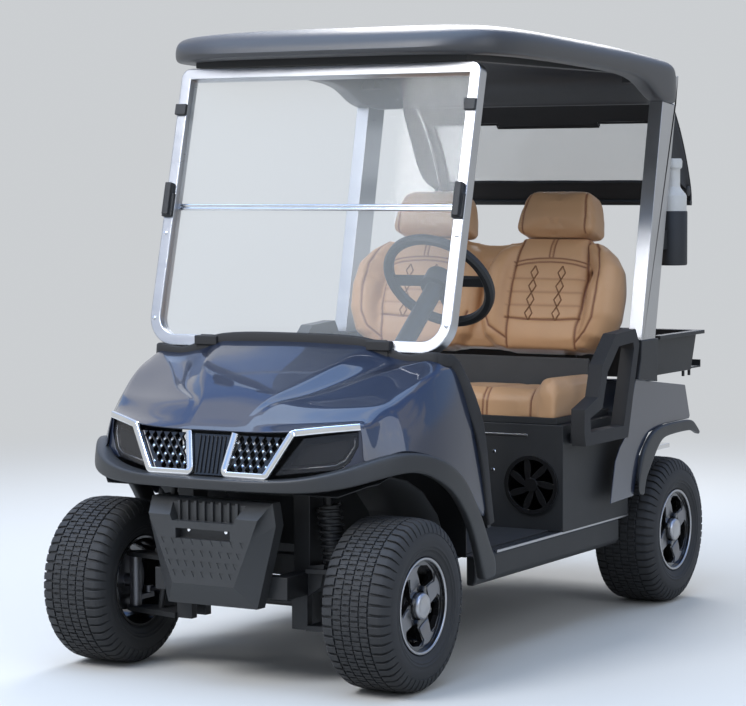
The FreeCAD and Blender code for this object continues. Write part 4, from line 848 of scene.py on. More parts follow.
class CART_OT_cowl(bpy.types.Operator):
    """Bonnet and side panels in one moulding, with the hollow leaf on each side."""
    bl_idname = "cart.cowl"
    bl_label = "Bonnet"

    def execute(self, context):
        rows = whole_rows(COWL)
        mesh = mesh_from("bonnet", *grid(rows, flip=True))
        crease_columns(mesh, len(rows[0]), COWL_CREASES)
        bonnet = put("bonnet", mesh, "paint", closed=False, replaces=("front_cowl",), slot="body_paint")
        subdivide(bonnet, 4)
        thicken(bonnet, 0.004)
        self.make_seal(rows[-1])
        return {"FINISHED"}

    def make_seal(self, edge):
        """Rubber band along the bonnet's rear edge."""
        line = curve_through([spot + Vector((-0.008, 0, 0.010)) for spot in edge], 6)
        seal = sweep(line, rounded(SEAL_SECTION, 0.005, 3))
        put("bonnet_seal", seal, "seal", slot="black_moulding")


BUMPER = (
    # top forward and up, lower edge forward and up, outside across, how deep it is
    (245, 562, 245, 531, 0, 60),
    (243, 562, 243, 531, 75, 60),
    (238, 562, 238, 531, 150, 60),
    (229, 564, 229, 531, 215, 60),
    (215, 569, 215, 531, 270, 60),
    (195, 578, 197, 534, 325, 58),
    (165, 590, 170, 541, 375, 54),
    (130, 604, 138, 550, 415, 50),
    (85, 618, 95, 562, 449, 46),
    (40, 628, 50, 573, 479, 42),
    (-5, 630, 0, 579, 501, 38),
    (-55, 622, -48, 570, 522, 36),
    (-105, 607, -95, 548, 536, 34),
    (-150, 587, -138, 524, 543, 32),
    (-195, 560, -172, 498, 546, 30),
    (-232, 529, -200, 470, 548, 30),
    (-268, 486, -230, 436, 549, 30),
    (-302, 442, -254, 400, 550, 30),
    (-330, 398, -272, 366, 550, 30),
    (-352, 360, -284, 342, 550, 30),
    (-372, 330, -296, 316, 550, 32),
    (-392, 304, -308, 286, 550, 34),
    (-394, 278, -320, 262, 550, 36),
    (-394, 252, -322, 252, 550, 36),
)
BAND = (
    # inward and up, as shares of the band's depth and height
    (1.0, 0.03), (0.42, 0.0), (0.12, 0.0), (0.02, 0.05), (0.0, 0.16), (0.0, 0.80),
    (0.03, 0.93), (0.13, 1.0), (0.42, 1.01), (1.0, 1.02),
)

BAND_SIDE = 545  # past this half width, in millimetres, a band runs straight back


def band_rows(table, point):
    """Sections of a band that follows the body's outline, from its front end back."""
    stations = []
    for index, (top_x, top_z, low_x, low_z, y, depth) in enumerate(table):
        if y > BAND_SIDE:
            run = Vector((-1, 0))
        elif index == 0:
            run = Vector((0, 1))
        else:
            before, after = table[index - 1], table[min(index + 1, len(table) - 1)]
            run = Vector((after[0] - before[0], after[4] - before[4]))
        inward = Vector((-run.y, run.x)).normalized()
        row = []
        for share, rise in BAND:
            x = low_x + (top_x - low_x) * rise + inward.x * depth * share
            across = y + inward.y * depth * share
            row.append(point(x, across, low_z + (top_z - low_z) * rise))
        stations.append(row)
    return stations


class CART_OT_bumper(bpy.types.Operator):
    """Bumper band that runs on into the flares over the front wheels."""
    bl_idname = "cart.bumper"
    bl_label = "Bumper"

    def execute(self, context):
        left = band_rows(BUMPER, ahead)
        band = closed_grid([mirrored(row) for row in left[:0:-1]] + left)
        bumper = put("bumper_band", band, "moulding", replaces=("front_bumper",), slot="black_moulding")
        subdivide(bumper, 2)
        return {"FINISHED"}


LINER_CUT = ((165, 350), (0.686, 0.728))  # a spot of the cut, in millimetres, and the way it faces


class CART_OT_liners(bpy.types.Operator):
    """Arch liners, cut back where the bumper turns in."""
    bl_idname = "cart.liners"
    bl_label = "Arch liners"

    def execute(self, context):
        (x, y), (forward, aside) = LINER_CUT
        liners = dress("arch_liners", "dark", 0)
        work = bmesh.new()
        work.from_mesh(liners.data)
        for side in (1, -1):
            whole = work.verts[:] + work.edges[:] + work.faces[:]
            cut = bmesh.ops.bisect_plane(
                work, geom=whole, plane_co=ahead(x, side * y, 0),
                plane_no=(forward, side * aside, 0), clear_outer=True)
            rim = [part for part in cut["geom_cut"] if isinstance(part, bmesh.types.BMEdge)]
            bmesh.ops.triangle_fill(work, edges=rim, use_beauty=True)
        bmesh.ops.recalc_face_normals(work, faces=work.faces)
        work.to_mesh(liners.data)
        work.free()
        return {"FINISHED"}


ROOF = (
    # forward of the front axle, half width, underside, top of the edge, crown
    (-328, 300, 1688, 1730, 1738),
    (-334, 360, 1687, 1734, 1744),
    (-352, 430, 1684, 1741, 1752),
    (-390, 496, 1681, 1750, 1762),
    (-450, 540, 1680, 1754, 1773),
    (-540, 556, 1678, 1753, 1780),
    (-700, 560, 1676, 1749, 1784),
    (-950, 560, 1668, 1737, 1784),
    (-1283, 560, 1656, 1724, 1776),
    (-1400, 560, 1632, 1716, 1771),
    (-1469, 560, 1588, 1711, 1765),
    (-1540, 560, 1572, 1706, 1757),
    (-1602, 558, 1570, 1702, 1748),
    (-1645, 540, 1574, 1694, 1732),
    (-1668, 500, 1580, 1684, 1716),
)
UNDERSIDE, SHOULDER_TOP, CROWN = 2, 3, 4  # columns of the roof's table
ROOF_RINGS = (
    # inward, the height it starts from, share of the way on to the crown, lift; from below
    (470, CROWN, 0, -40), (200, CROWN, 0, -46), (76, SHOULDER_TOP, 0, -34), (66, UNDERSIDE, 0, 16),
    (60, UNDERSIDE, 0, 3), (50, UNDERSIDE, 0, 0), (12, UNDERSIDE, 0, 0), (3, UNDERSIDE, 0, 5),
    (0, UNDERSIDE, 0, 16), (0, SHOULDER_TOP, 0, -34), (5, SHOULDER_TOP, 0, -14),
    (20, SHOULDER_TOP, 0, -1), (48, SHOULDER_TOP, 0, 5), (100, SHOULDER_TOP, 0.35, 4),
    (220, SHOULDER_TOP, 0.72, 4), (380, CROWN, 0, -3), (500, CROWN, 0, 0),
)
ROOF_MIDDLE, ROOF_HALF_LENGTH, ROOF_HALF_WIDTH = -1000, 672, 560


def along_roof(x, column):
    """A value of the roof's table at a place along it."""
    if x >= ROOF[0][0]:
        return ROOF[0][column]
    for before, after in zip(ROOF, ROOF[1:]):
        if x >= after[0]:
            share = (before[0] - x) / (before[0] - after[0])
            return before[column] + (after[column] - before[column]) * share
    return ROOF[-1][column]


class CART_OT_roof(bpy.types.Operator):
    """Roof moulding: a crowned top with a deep rolled skirt, and its plain underside."""
    bl_idname = "cart.roof"
    bl_label = "Roof"

    def execute(self, context):
        plan = self.plan()
        rings = []
        for inward, column, share, lift in ROOF_RINGS:
            ring = []
            for x, y in self.inset(plan, inward):
                base = along_roof(x, column)
                ring.append(ahead(x, y, base + share * (along_roof(x, CROWN) - base) + lift))
            rings.append(ring)
        verts, faces = grid(rings, close_across=True)
        for start in (0, (len(rings) - 1) * len(plan)):
            faces.append(tuple(range(start, start + len(plan))))
        roof = put("roof_moulding", (verts, faces), "roof", replaces=("roof",), slot="roof_moulding")
        subdivide(roof, 2)
        return {"FINISHED"}

    def plan(self):
        """Outline of the roof from above, anticlockwise."""
        left = [row[:2] for row in ROOF]
        front = [(ROOF[0][0] + 2, y) for y in (-180, 0, 180)]
        rear = [(ROOF[-1][0] - 4, y) for y in (330, 0, -330)]
        return front + left + rear + [(x, -half) for x, half in reversed(left)]

    def inset(self, plan, amount):
        """The outline drawn in towards the roof's middle."""
        share_x, share_y = 1 - amount / ROOF_HALF_LENGTH, 1 - amount / ROOF_HALF_WIDTH
        return [(ROOF_MIDDLE + (x - ROOF_MIDDLE) * share_x, y * share_y) for x, y in plan]


class CART_OT_rear_body(bpy.types.Operator):
    """Painted fenders over the rear wheels, with a chamfered shoulder."""
    bl_idname = "cart.rear_body"
    bl_label = "Rear fenders"

    def execute(self, context):
        soften(dress("rear_body", "paint", 0), 0.016, 5, 35)
        return {"FINISHED"}


REAR_FLARE = (
    # top forward and up, lower edge forward and up, outside across, how deep it is
    (314, 371, 263, 367, 544, 20),
    (300, 425, 256, 392, 545, 20),
    (286, 462, 246, 420, 545, 20),
    (268, 498, 222, 444, 545, 20),
    (240, 526, 194, 470, 545, 20),
    (205, 551, 165, 500, 545, 20),
    (165, 564, 140, 520, 545, 20),
    (120, 570, 112, 533, 545, 20),
    (70, 573, 70, 537, 545, 20),
    (0, 573, 0, 539, 545, 20),
    (-60, 573, -55, 539, 545, 20),
    (-112, 572, -98, 538, 545, 20),
    (-140, 558, -125, 534, 544, 20),
    (-165, 540, -152, 528, 543, 20),
    (-190, 521, -178, 517, 542, 20),
)


class CART_OT_rear_flares(bpy.types.Operator):
    """Black lips along the rear wheel openings."""
    bl_idname = "cart.rear_flares"
    bl_label = "Rear flares"

    def execute(self, context):
        lips = mirror_parts(closed_grid(band_rows(REAR_FLARE, behind)))
        flares = put("rear_lips", lips, "moulding", replaces=("rear_flares",), slot="black_moulding")
        subdivide(flares, 2)
        return {"FINISHED"}


# Wheels

WHEELS = (
    # name, axle, side
    ("front_left", FRONT, 1), ("front_right", FRONT, -1),
    ("rear_left", REAR, 1), ("rear_right", REAR, -1),
)

TREAD_OUTLINE = (
    # round the tyre, across: one half of a block
    (-0.0112, -0.0112), (-0.0095, 0.0), (-0.0112, 0.0112),
    (-0.0014, 0.0112), (-0.0004, 0.0), (-0.0014, -0.0112),
)

TREAD_ROWS = (
    # across from the tyre's middle, drop below its radius, phase
    (-0.0385, 0.0005, 0.0), (-0.0130, 0.0, 0.5), (0.0130, 0.0, 0.0), (0.0385, 0.0005, 0.5),
)

SHOULDER = (
    # across, above the tyre's radius
    (0.0545, -0.0010), (0.0790, -0.0045), (0.0885, -0.0110), (0.0965, -0.0250), (0.1000, -0.0370),
    (0.0975, -0.0385), (0.0900, -0.0300), (0.0820, -0.0160), (0.0545, -0.0080),
)

TYRE_SKIN = (
    # across, below the tyre's radius, of one half from the crown to the bead
    (0.0000, 0.0), (0.0350, 0.0003), (0.0560, 0.0020), (0.0760, 0.0060), (0.0880, 0.0150),
    (0.0955, 0.0280), (0.0995, 0.0400), (0.1018, 0.0500), (0.1024, 0.0580), (0.1022, 0.0640),
    (0.1012, 0.0700), (0.1020, 0.0712), (0.1016, 0.0730), (0.1002, 0.0738), (0.0985, 0.0790),
    (0.0993, 0.0802), (0.0985, 0.0818), (0.0968, 0.0826), (0.0945, 0.0890), (0.0930, 0.0950),
    (0.0890, 0.1000), (0.0830, 0.1018), (0.0760, 0.1018),
)
GROOVED = 0.03  # the skin lies under the tread's grooves down to this far below the radius

BAR_HALF, BAR_BEVEL, BAR_RAKE = 0.0095, 0.0012, 0.035  # a shoulder bar round the tyre


def tread_block():
    """Two halves of one block with a wavy sipe between them."""
    depth = bpy.context.scene.cart_detail.tread_depth
    halves = []
    for side in (1, -1):
        foot = [Vector((side * x, y, -depth * 1.4)) for x, y in TREAD_OUTLINE]
        rows = [foot]
        for share, height in ((0.99, -0.0007), (0.90, 0.0)):
            rows.append([Vector((p.x * share, p.y * share, height)) for p in foot])
        halves.append(closed_grid(rows))
    return joined(*halves)


def shoulder_block(side):
    """A bar that wraps from the tread over the shoulder."""
    inside = SHOULDER[0][0]
    rows = []
    for x, swell in ((-BAR_HALF, -0.0010), (-BAR_HALF + BAR_BEVEL, 0.0),
                     (BAR_HALF - BAR_BEVEL, 0.0), (BAR_HALF, -0.0010)):
        rows.append([Vector((x + BAR_RAKE * (y - inside), side * (y + swell * 0.5), z + swell))
                     for y, z in SHOULDER])
    return closed_grid(rows)


RIM_LIP = (
    # across, radius
    (0.0885, 0.1275), (0.0915, 0.1275), (0.0925, 0.1262), (0.0925, 0.1225), (0.0910, 0.1205),
    (0.0870, 0.1195), (0.0865, 0.1215),
)
RIM_CAP = (
    # across, radius
    (0.0800, 0.036), (0.0860, 0.036), (0.0905, 0.0345), (0.0940, 0.0305), (0.0945, 0.0285),
    (0.0932, 0.0270), (0.0950, 0.0200), (0.0960, 0.0100), (0.0963, 0.0),
)
SPOKES = 4
SPOKE_TURN, SPOKE_MIDDLE = 156, 0.082  # degrees of the first one, and its middle radius
SPOKE_FACE = (
    # degrees from the spoke's middle, radius
    (-24, 0.060), (-19, 0.074), (-11.5, 0.094), (-17, 0.104), (-22, 0.1085), (-11, 0.1105),
    (0, 0.111), (11, 0.1105), (22, 0.1085), (17, 0.104), (11.5, 0.094), (19, 0.074), (24, 0.060),
    (13, 0.0545), (0, 0.053), (-13, 0.0545),
)
NUT = ((0.0105, 0.0), (0.0105, 0.010), (0.0092, 0.0125), (0.0050, 0.0135))  # radius, height
NUT_TURN, NUT_RADIUS, NUT_ACROSS = 111, 0.0455, 0.0735


def on_wheel(centre, side, degrees, radius, across):
    """A point of a wheel, round its axle and out of its middle plane."""
    turn = math.radians(degrees)
    return centre + Vector((radius * math.cos(turn), side * across, radius * math.sin(turn)))


class CART_OT_tyres(bpy.types.Operator):
    """Tyres with tread blocks, shoulder bars and ringed sidewalls."""
    bl_idname = "cart.tyres"
    bl_label = "Tyres"

    def execute(self, context):
        detail = context.scene.cart_detail
        pattern = ring_pattern()
        radius = AXLE
        parts = []
        for across, drop, phase in TREAD_ROWS:
            row = grow(pattern, tread_block(), "rubber",
                       Count=detail.tread_blocks, Radius=radius - drop, Phase=phase)
            parts.append(moved(row, (0, across, 0)))
        for side in (1, -1):
            parts.append(grow(pattern, shoulder_block(side), "rubber",
                              Count=detail.tread_blocks, Radius=radius, Phase=0.5 + side / 4))
        tread = merged("tread", parts)
        skin = []
        for across, drop in TYRE_SKIN:
            groove = detail.tread_depth if drop < GROOVED else 0
            skin.append((across, radius - groove - drop))
        skin = [(-across, r) for across, r in reversed(skin)] + skin[1:]
        for name, axle, side in WHEELS:
            centre = Vector((axle, side * TYRE_PLANE, AXLE))
            body = "wheel_" + name
            put("tyre_wall_" + name, turned(skin, centre, sides=128), "rubber", body,
                replaces=("tyre_" + name,))
            blocks_here = moved(tread.copy(), centre)
            put("tread_" + name, blocks_here, "rubber", body, sharp=30, closed=False)
        return {"FINISHED"}


class CART_OT_rims(bpy.types.Operator):
    """Gloss rims with satin spoke faces, a bright lip, a cap and wheel nuts."""
    bl_idname = "cart.rims"
    bl_label = "Rims"

    def execute(self, context):
        for name, axle, side in WHEELS:
            body = "wheel_" + name
            centre = Vector((axle, side * TYRE_PLANE, AXLE))
            dress("rim_" + name, "wheel", 0.0025, 3, name="rim_shape_" + name)
            put("spoke_faces_" + name, self.faces(centre, side), "machined", body, sharp=40)
            lip, cap = ([(side * y, r) for y, r in profile] for profile in (RIM_LIP, RIM_CAP))
            put("lip_" + name, turned(lip, centre, sides=96), "satin", body)
            put("cap_" + name, turned(cap, centre, sides=64, close=False), "satin", body)
            spots = [(on_wheel(centre, side, NUT_TURN + 90 * number, NUT_RADIUS, NUT_ACROSS), (0, side, 0))
                     for number in range(SPOKES)]
            nuts = scattered(stacked(NUT, 6), spots, "wheel")
            put("nuts_" + name, nuts, "wheel", body, sharp=30, closed=False)
        return {"FINISHED"}

    def faces(self, centre, side):
        """Thin plates on the spokes, which lean out from 76 mm at the hub to 80 mm."""
        parts = []
        for number in range(SPOKES):
            rows = []
            for share, lift in ((1.0, 0.0005), (1.0, 0.0018), (0.965, 0.0026)):
                row = []
                for degrees, radius in SPOKE_FACE:
                    reach = SPOKE_MIDDLE + (radius - SPOKE_MIDDLE) * share
                    across = 0.076 + 0.004 * (reach - 0.043) / 0.068 + lift
                    turn = SPOKE_TURN + 90 * number + degrees * share
                    row.append(on_wheel(centre, side, turn, reach, across))
                rows.append(row)
            parts.append(closed_grid(rows))
        return joined(*parts)


# Seats

FORWARD, LEFTWARD, UPWARD = Vector((1, 0, 0)), Vector((0, 1, 0)), Vector((0, 0, 1))
BACK_FOOT = Vector((REAR + 0.352, 0, 0.803))
BACK_LEAN = math.radians(17.7)
BACK_UP = Vector((-math.sin(BACK_LEAN), 0, math.cos(BACK_LEAN)))
BACK_OUT = Vector((math.cos(BACK_LEAN), 0, math.sin(BACK_LEAN)))
SEAT_MIDDLE = 0.223

BACK_ROWS = (
    # the middle pad: up the back, half width, rear, front
    (0.006, 0.128, -0.084, -0.010), (0.018, 0.138, -0.094, 0.000), (0.080, 0.142, -0.098, 0.004),
    (0.200, 0.142, -0.098, 0.002), (0.300, 0.136, -0.096, -0.004), (0.384, 0.118, -0.084, -0.014),
)

BOLSTER_PATHS = (
    # across from the seat's middle, up the back, out of it, half width, half depth
    ((0.135, 0.012, -0.046, 0.036, 0.048), (0.176, 0.050, -0.034, 0.046, 0.062),
     (0.196, 0.120, -0.026, 0.050, 0.070), (0.200, 0.200, -0.022, 0.049, 0.073),
     (0.196, 0.275, -0.024, 0.046, 0.068), (0.172, 0.325, -0.032, 0.040, 0.058),
     (0.138, 0.362, -0.044, 0.030, 0.046)),
    ((-0.130, 0.012, -0.048, 0.034, 0.046), (-0.158, 0.050, -0.040, 0.040, 0.054),
     (-0.172, 0.120, -0.034, 0.042, 0.060), (-0.174, 0.200, -0.031, 0.041, 0.062),
     (-0.168, 0.275, -0.033, 0.039, 0.058), (-0.152, 0.325, -0.040, 0.035, 0.050),
     (-0.132, 0.358, -0.048, 0.028, 0.042)),
)

BRIDGE = (
    # the pad between the seats: across from a seat's middle, height of its top
    (-0.2235, 0.366), (-0.200, 0.367), (-0.170, 0.372), (-0.120, 0.380),
)

HEADREST_ROWS = (
    # up the back, half width, rear, front
    (0.384, 0.112, -0.088, 0.002), (0.390, 0.129, -0.098, 0.014), (0.402, 0.134, -0.102, 0.020),
    (0.448, 0.127, -0.102, 0.022), (0.492, 0.117, -0.098, 0.018), (0.514, 0.108, -0.090, 0.010),
    (0.525, 0.092, -0.078, -0.002),
)

SEAMS = (
    # across from the seat's middle, up the back: the pad's two sides, then the bolsters
    ((-0.106, 0.380), (-0.116, 0.300), (-0.121, 0.220), (-0.120, 0.140), (-0.118, 0.085),
     (-0.116, 0.020)),
    ((0.112, 0.380), (0.124, 0.300), (0.131, 0.220), (0.130, 0.140), (0.120, 0.085), (0.118, 0.020)),
    ((-0.192, 0.120), (-0.176, 0.080), (-0.119, 0.046)),
    ((0.134, 0.372), (0.166, 0.332), (0.186, 0.270), (0.190, 0.190), (0.184, 0.110), (0.160, 0.065),
     (0.119, 0.036)),
)
ARCH = [(u, 0.299 - u * u) for u in (-0.122, -0.08, -0.04, 0, 0.04, 0.08, 0.122)]
FOOT = ((-0.128, 0.110), (-0.06, 0.105), (0, 0.104), (0.06, 0.105), (0.128, 0.110))
BAND_HALF = 0.0065  # half the width of the raised bands over the arch and above it
CHANNELS = (0.237, 0.193, 0.150)
LACE_COLUMNS, LACE_TOP, LACE_DROP, LACE_REACH, LACE_STEPS = (-0.047, 0.047), 0.278, 0.022, 0.0125, 9

HEADREST_SEAM = ((0.108, 0.386), (0.106, 0.448), (0.094, 0.518))

CUSHION_FRONT, CUSHION_REAR, CUSHION_LOW = REAR + 0.7185, REAR + 0.370, 0.626
CUSHION_ROWS = (
    # across, height of the top, how far the section is drawn in
    (0.006, 0.694, 0.010), (0.016, 0.705, 0.004), (0.040, 0.711, 0.0), (0.220, 0.712, 0.0),
    (0.330, 0.710, 0.0), (0.366, 0.708, 0.004), (0.384, 0.722, 0.006), (0.410, 0.748, 0.0),
    (0.434, 0.755, 0.002), (0.455, 0.744, 0.006), (0.463, 0.722, 0.014),
)
CUSHION_BOLSTER = 0.37  # across, where the cushion's bolster starts
HINGE_X, HINGE_Y, HINGE_Z = REAR + 0.350, 0.280, 0.705

PRESSURE, AIR_FRAMES = 4.0, 20


def coordinates(mesh, key="co"):
    """The points of a mesh, or their normals, as an array."""
    held = np.empty(len(mesh.vertices) * 3)
    mesh.vertices.foreach_get(key, held)
    return held.reshape(-1, 3)


def inflate(name, part, voxel, cap):
    """A closed shape swollen like a filled cover, no point of it moved past the cap."""
    obj = bpy.data.objects.new(name, mesh_from(name, *part))
    bpy.context.collection.objects.link(obj)
    skin = obj.modifiers.new("skin", "REMESH")
    skin.mode = "VOXEL"
    skin.voxel_size = voxel
    ease = obj.modifiers.new("ease", "SMOOTH")
    ease.factor = 0.5
    ease.iterations = 5
    settle(obj)
    start = coordinates(obj.data)
    cloth = obj.modifiers.new("air", "CLOTH")
    cloth.settings.use_pressure = True
    cloth.settings.uniform_pressure_force = PRESSURE
    cloth.settings.effector_weights.gravity = 0
    for frame_number in range(1, AIR_FRAMES + 1):
        bpy.context.scene.frame_set(frame_number)
    graph = bpy.context.evaluated_depsgraph_get()
    step = coordinates(obj.evaluated_get(graph).data) - start
    obj.modifiers.clear()
    bpy.context.scene.frame_set(1)
    length = np.linalg.norm(step, axis=1)
    step *= np.minimum(1.0, cap / np.maximum(length, 1e-9))[:, None]
    obj.data.vertices.foreach_set("co", (start + step).ravel())
    subdivide(obj, 1)
    settle(obj)
    mesh = obj.data
    bpy.data.objects.remove(obj)
    mesh.attributes.new("seam", "FLOAT", "POINT")
    return mesh


def carve(mesh, view, lines, depth=0.0035, width=0.0034, stain=1.0):
    """Press seams along lines into the side of a pad that faces the third axis of a view, and paint shade
    into their grooves.
    """
    origin, axes = np.array(view[0]), np.array([list(axis) for axis in view[1:]])
    spots = coordinates(mesh)
    # 1 where the pad faces the view, down to 0 where it turns away from it
    facing = np.clip((coordinates(mesh, "normal") @ axes[2] - 0.15) * 4, 0, 1)
    flat = (spots - origin) @ axes.T
    reach = np.full(len(flat), 1.0)
    for line in lines:
        for a, b in zip(np.array(line), np.array(line)[1:]):
            share = np.clip(((flat[:, :2] - a) @ (b - a)) / max((b - a) @ (b - a), 1e-12), 0, 1)
            reach = np.minimum(reach, np.linalg.norm(flat[:, :2] - a - share[:, None] * (b - a), axis=1))
    # a narrow groove in a wide, shallow hollow
    groove = np.exp(-(reach / width) ** 2) * facing
    hollow = np.exp(-(reach / (width * 4)) ** 2) * facing
    spots -= axes[2] * (depth * (0.65 * groove + 0.35 * hollow))[:, None]
    mesh.vertices.foreach_set("co", spots.ravel())
    # painted shade at the bottom of the groove, kept in the seam attribute and scaled by the last argument
    held = np.empty(len(spots))
    seam = mesh.attributes["seam"]
    seam.data.foreach_get("value", held)
    seam.data.foreach_set("value", np.maximum(held, np.exp(-(reach / (width * 0.8)) ** 2) * facing * stain))
    mesh.update()


def seat_view(side):
    """Foot of a seat's back, and the ways across, up and out of it."""
    return BACK_FOOT + Vector((0, side * SEAT_MIDDLE, 0)), LEFTWARD * side, BACK_UP, BACK_OUT


def in_view(view, a, b, c):
    """A point given across, up and out of a view."""
    return view[0] + view[1] * a + view[2] * b + view[3] * c


def pad_sections(view, table, radius):
    """Corner-rounded sections of a pad: up the back, half width, rear and front."""
    rows = []
    for up, half, low, high in table:
        section = rounded([(-half, low), (half, low), (half, high), (-half, high)], radius, 5)
        rows.append([in_view(view, across, up, out) for across, out in section])
    return rows


def tree_of(mesh):
    """A mesh that rays can be cast at."""
    return BVHTree.FromPolygons([v.co for v in mesh.vertices], [p.vertices for p in mesh.polygons])


class Pad:
    """A swollen pad seen from one side, to press seams into it and lay threads on it."""

    def __init__(self, mesh, origin, across, up, out):
        self.mesh = mesh
        self.view = (origin, across, up, out)
        self.tree = None

    def press(self, lines, **values):
        """Press seams into the pad along lines of the view's plane."""
        carve(self.mesh, self.view, lines, **values)

    def lay(self, line, lift=0.0005, steps=5):
        """Points in space where a line of the view's plane meets the pad."""
        if self.tree is None:
            self.tree = tree_of(self.mesh)
        path = []
        for spot in curve_through([(a, b, 0) for a, b in line], steps):
            start = in_view(self.view, spot.x, spot.y, 0.3)
            place, normal = self.tree.ray_cast(start, -self.view[3])[:2]
            if place is not None:
                path.append(place + normal * lift)
        return path


def beside(line, offset):
    """A line of a plane moved sideways."""
    moved_line = []
    for index, spot in enumerate(line):
        before, after = Vector(line[max(index - 1, 0)]), Vector(line[min(index + 1, len(line) - 1)])
        along = (after - before).normalized()
        moved_line.append((spot[0] + along.y * offset, spot[1] - along.x * offset))
    return moved_line


def straight(line, steps=4):
    """Points along the straight runs of a line of a plane."""
    spots = []
    for (a0, b0), (a1, b1) in zip(line, line[1:]):
        spots += [(a0 + (a1 - a0) * k / steps, b0 + (b1 - b0) * k / steps) for k in range(steps)]
    return spots + [line[-1]]


class CART_OT_seats(bpy.types.Operator):
    """Seat backs, headrests and cushion, swollen, seamed and stitched."""
    bl_idname = "cart.seats"
    bl_label = "Seats"

    def execute(self, context):
        self.make_back()
        self.make_headrests()
        self.make_cushion()
        self.make_board()
        return {"FINISHED"}

    def make_back(self):
        """Both seat backs in one skin; the threads go on when all its seams are pressed."""
        mesh = inflate("seat_backs", self.back_form(), 0.0072, 0.009)
        for side in (1, -1):
            pad = Pad(mesh, *seat_view(side))
            pad.press(SEAMS, depth=0.006, width=0.0042)
            pad.press([beside(ARCH, BAND_HALF), beside(ARCH, -BAND_HALF)], depth=0.003, width=0.003)
            pad.press([[(u, 0.380), (u, 0.308)] for u in (-BAND_HALF, BAND_HALF)], depth=0.003, width=0.003)
            pad.press([FOOT], depth=0.005, width=0.0035)
            # the shallow channels get fainter painted shade than the seams
            for height in CHANNELS:
                pad.press([[(-0.129, height), (0.129, height)]], depth=0.0022, width=0.0042, stain=0.35)
        threads, cords = [], []
        for side in (1, -1):
            pad = Pad(mesh, *seat_view(side))
            for line in (ARCH, *SEAMS[:2]):
                threads += [pad.lay(beside(line, 0.0035)), pad.lay(beside(line, -0.0035))]
            threads += [pad.lay([(u, 0.378), (u, 0.310)]) for u in (-0.003, 0.003)]
            threads += [pad.lay(beside(FOOT, -0.004)), pad.lay(beside(SEAMS[3], 0.004))]
            for column in LACE_COLUMNS:
                for reach in (LACE_REACH, -LACE_REACH):
                    zigzag = [(column + reach * (number % 2), LACE_TOP - LACE_DROP * number)
                              for number in range(LACE_STEPS)]
                    cords.append(sweep(pad.lay(straight(zigzag), 0.0004, 1), circle(0.0024, 6)))
        backs = put("seat_backs", mesh, "leather", replaces=("seat_back",), closed=False)
        put("seat_back_threads", stitched(threads), "thread", closed=False)
        put("seat_back_lacing", joined(*cords), "lacing")

    def back_form(self):
        """Middle pads, bolsters and the bridge between them, before they swell."""
        square = [tuple(math.copysign(abs(value) ** 0.8, value) for value in spot)
                  for spot in circle(1.0, 20)]
        parts = []
        for side in (1, -1):
            view = seat_view(side)
            parts.append(closed_grid(pad_sections(view, BACK_ROWS, 0.02)))
            for path in BOLSTER_PATHS:
                parts.append(closed_grid([
                    [in_view(view, u + wide * a, t, d + deep * b) for a, b in square]
                    for u, t, d, wide, deep in path]))
            rows = []
            for u, top in BRIDGE:
                section = ((0.014, -0.084), (0.014, -0.034), (0.060, -0.022),
                           (top - 0.06, -0.022), (top, -0.040), (top, -0.084))
                rows.append([in_view(view, u, t, d) for t, d in section])
            parts.append(closed_grid(rows))
        return joined(*parts)

    def make_headrests(self):
        view = seat_view(1)
        form = closed_grid(pad_sections(view, HEADREST_ROWS, 0.022))
        mesh = inflate("headrest_left", form, 0.006, 0.006)
        lines = [HEADREST_SEAM, [(-u, t) for u, t in HEADREST_SEAM]]
        pad = Pad(mesh, *view)
        pad.press(lines, depth=0.0025, width=0.003)
        thread = stitched([pad.lay(beside(line, offset)) for line in lines for offset in (0.0035, -0.0035)])
        for side, name in ((1, "left"), (-1, "right")):
            shift = (0, (side - 1) * SEAT_MIDDLE, 0)
            put("headrest_" + name, moved(mesh.copy(), shift), "leather", closed=False)
            put("headrest_threads_" + name, moved(thread.copy(), shift), "thread", closed=False)

    def make_cushion(self):
        front, rear, low = CUSHION_FRONT, CUSHION_REAR, CUSHION_LOW
        rows = []
        for y, top, pull in CUSHION_ROWS:
            lip = top + (0.004 if y < CUSHION_BOLSTER else -0.004)
            corners = ((rear + pull, low + pull), (front - pull, low + pull), (front - pull, lip),
                       (rear + pull, top - 0.012))
            rows.append([Vector((x, y, z)) for x, z in rounded(corners, (0.008, 0.010, 0.034, 0.022), 6)])
        mesh = inflate("cushion_pad_left", closed_grid(rows), 0.0072, 0.010)
        above = Pad(mesh, Vector(), FORWARD, LEFTWARD, UPWARD)
        before = Pad(mesh, Vector(), LEFTWARD, UPWARD, FORWARD)
        for y, depth in ((0.2165, 0.0035), (0.2295, 0.0035), (0.372, 0.008)):
            above.press([[(rear, y), (front - 0.012, y)]], depth=depth, width=0.0034)
            before.press([[(y, 0.712), (y - 0.004, low + 0.004)]], depth=depth, width=0.0034)
        before.press([[(0.034, 0.716), (0.030, low + 0.004)]], depth=0.003, width=0.003)
        above.press([[(front - 0.06, 0.020), (front - 0.012, 0.034)]], depth=0.003, width=0.003)
        thread = stitched([
            before.lay([(y, 0.700), (y - 0.004, low + 0.008)]) for y in (0.213, 0.233, 0.3685)])
        sources = (("cushion_pad_", mesh, "leather"), ("cushion_threads_", thread, "thread"))
        for side, name in ((1, "left"), (-1, "right")):
            for label, source, finish in sources:
                copy = source.copy()
                if side < 0:
                    copy.transform(Matrix.Scale(-1, 4, (0, 1, 0)))
                    copy.flip_normals()
                replaced = ("seat_cushion",) if label + name == "cushion_pad_left" else ()
                obj = put(label + name, copy, finish, "seat_cushion", closed=False, replaces=replaced)

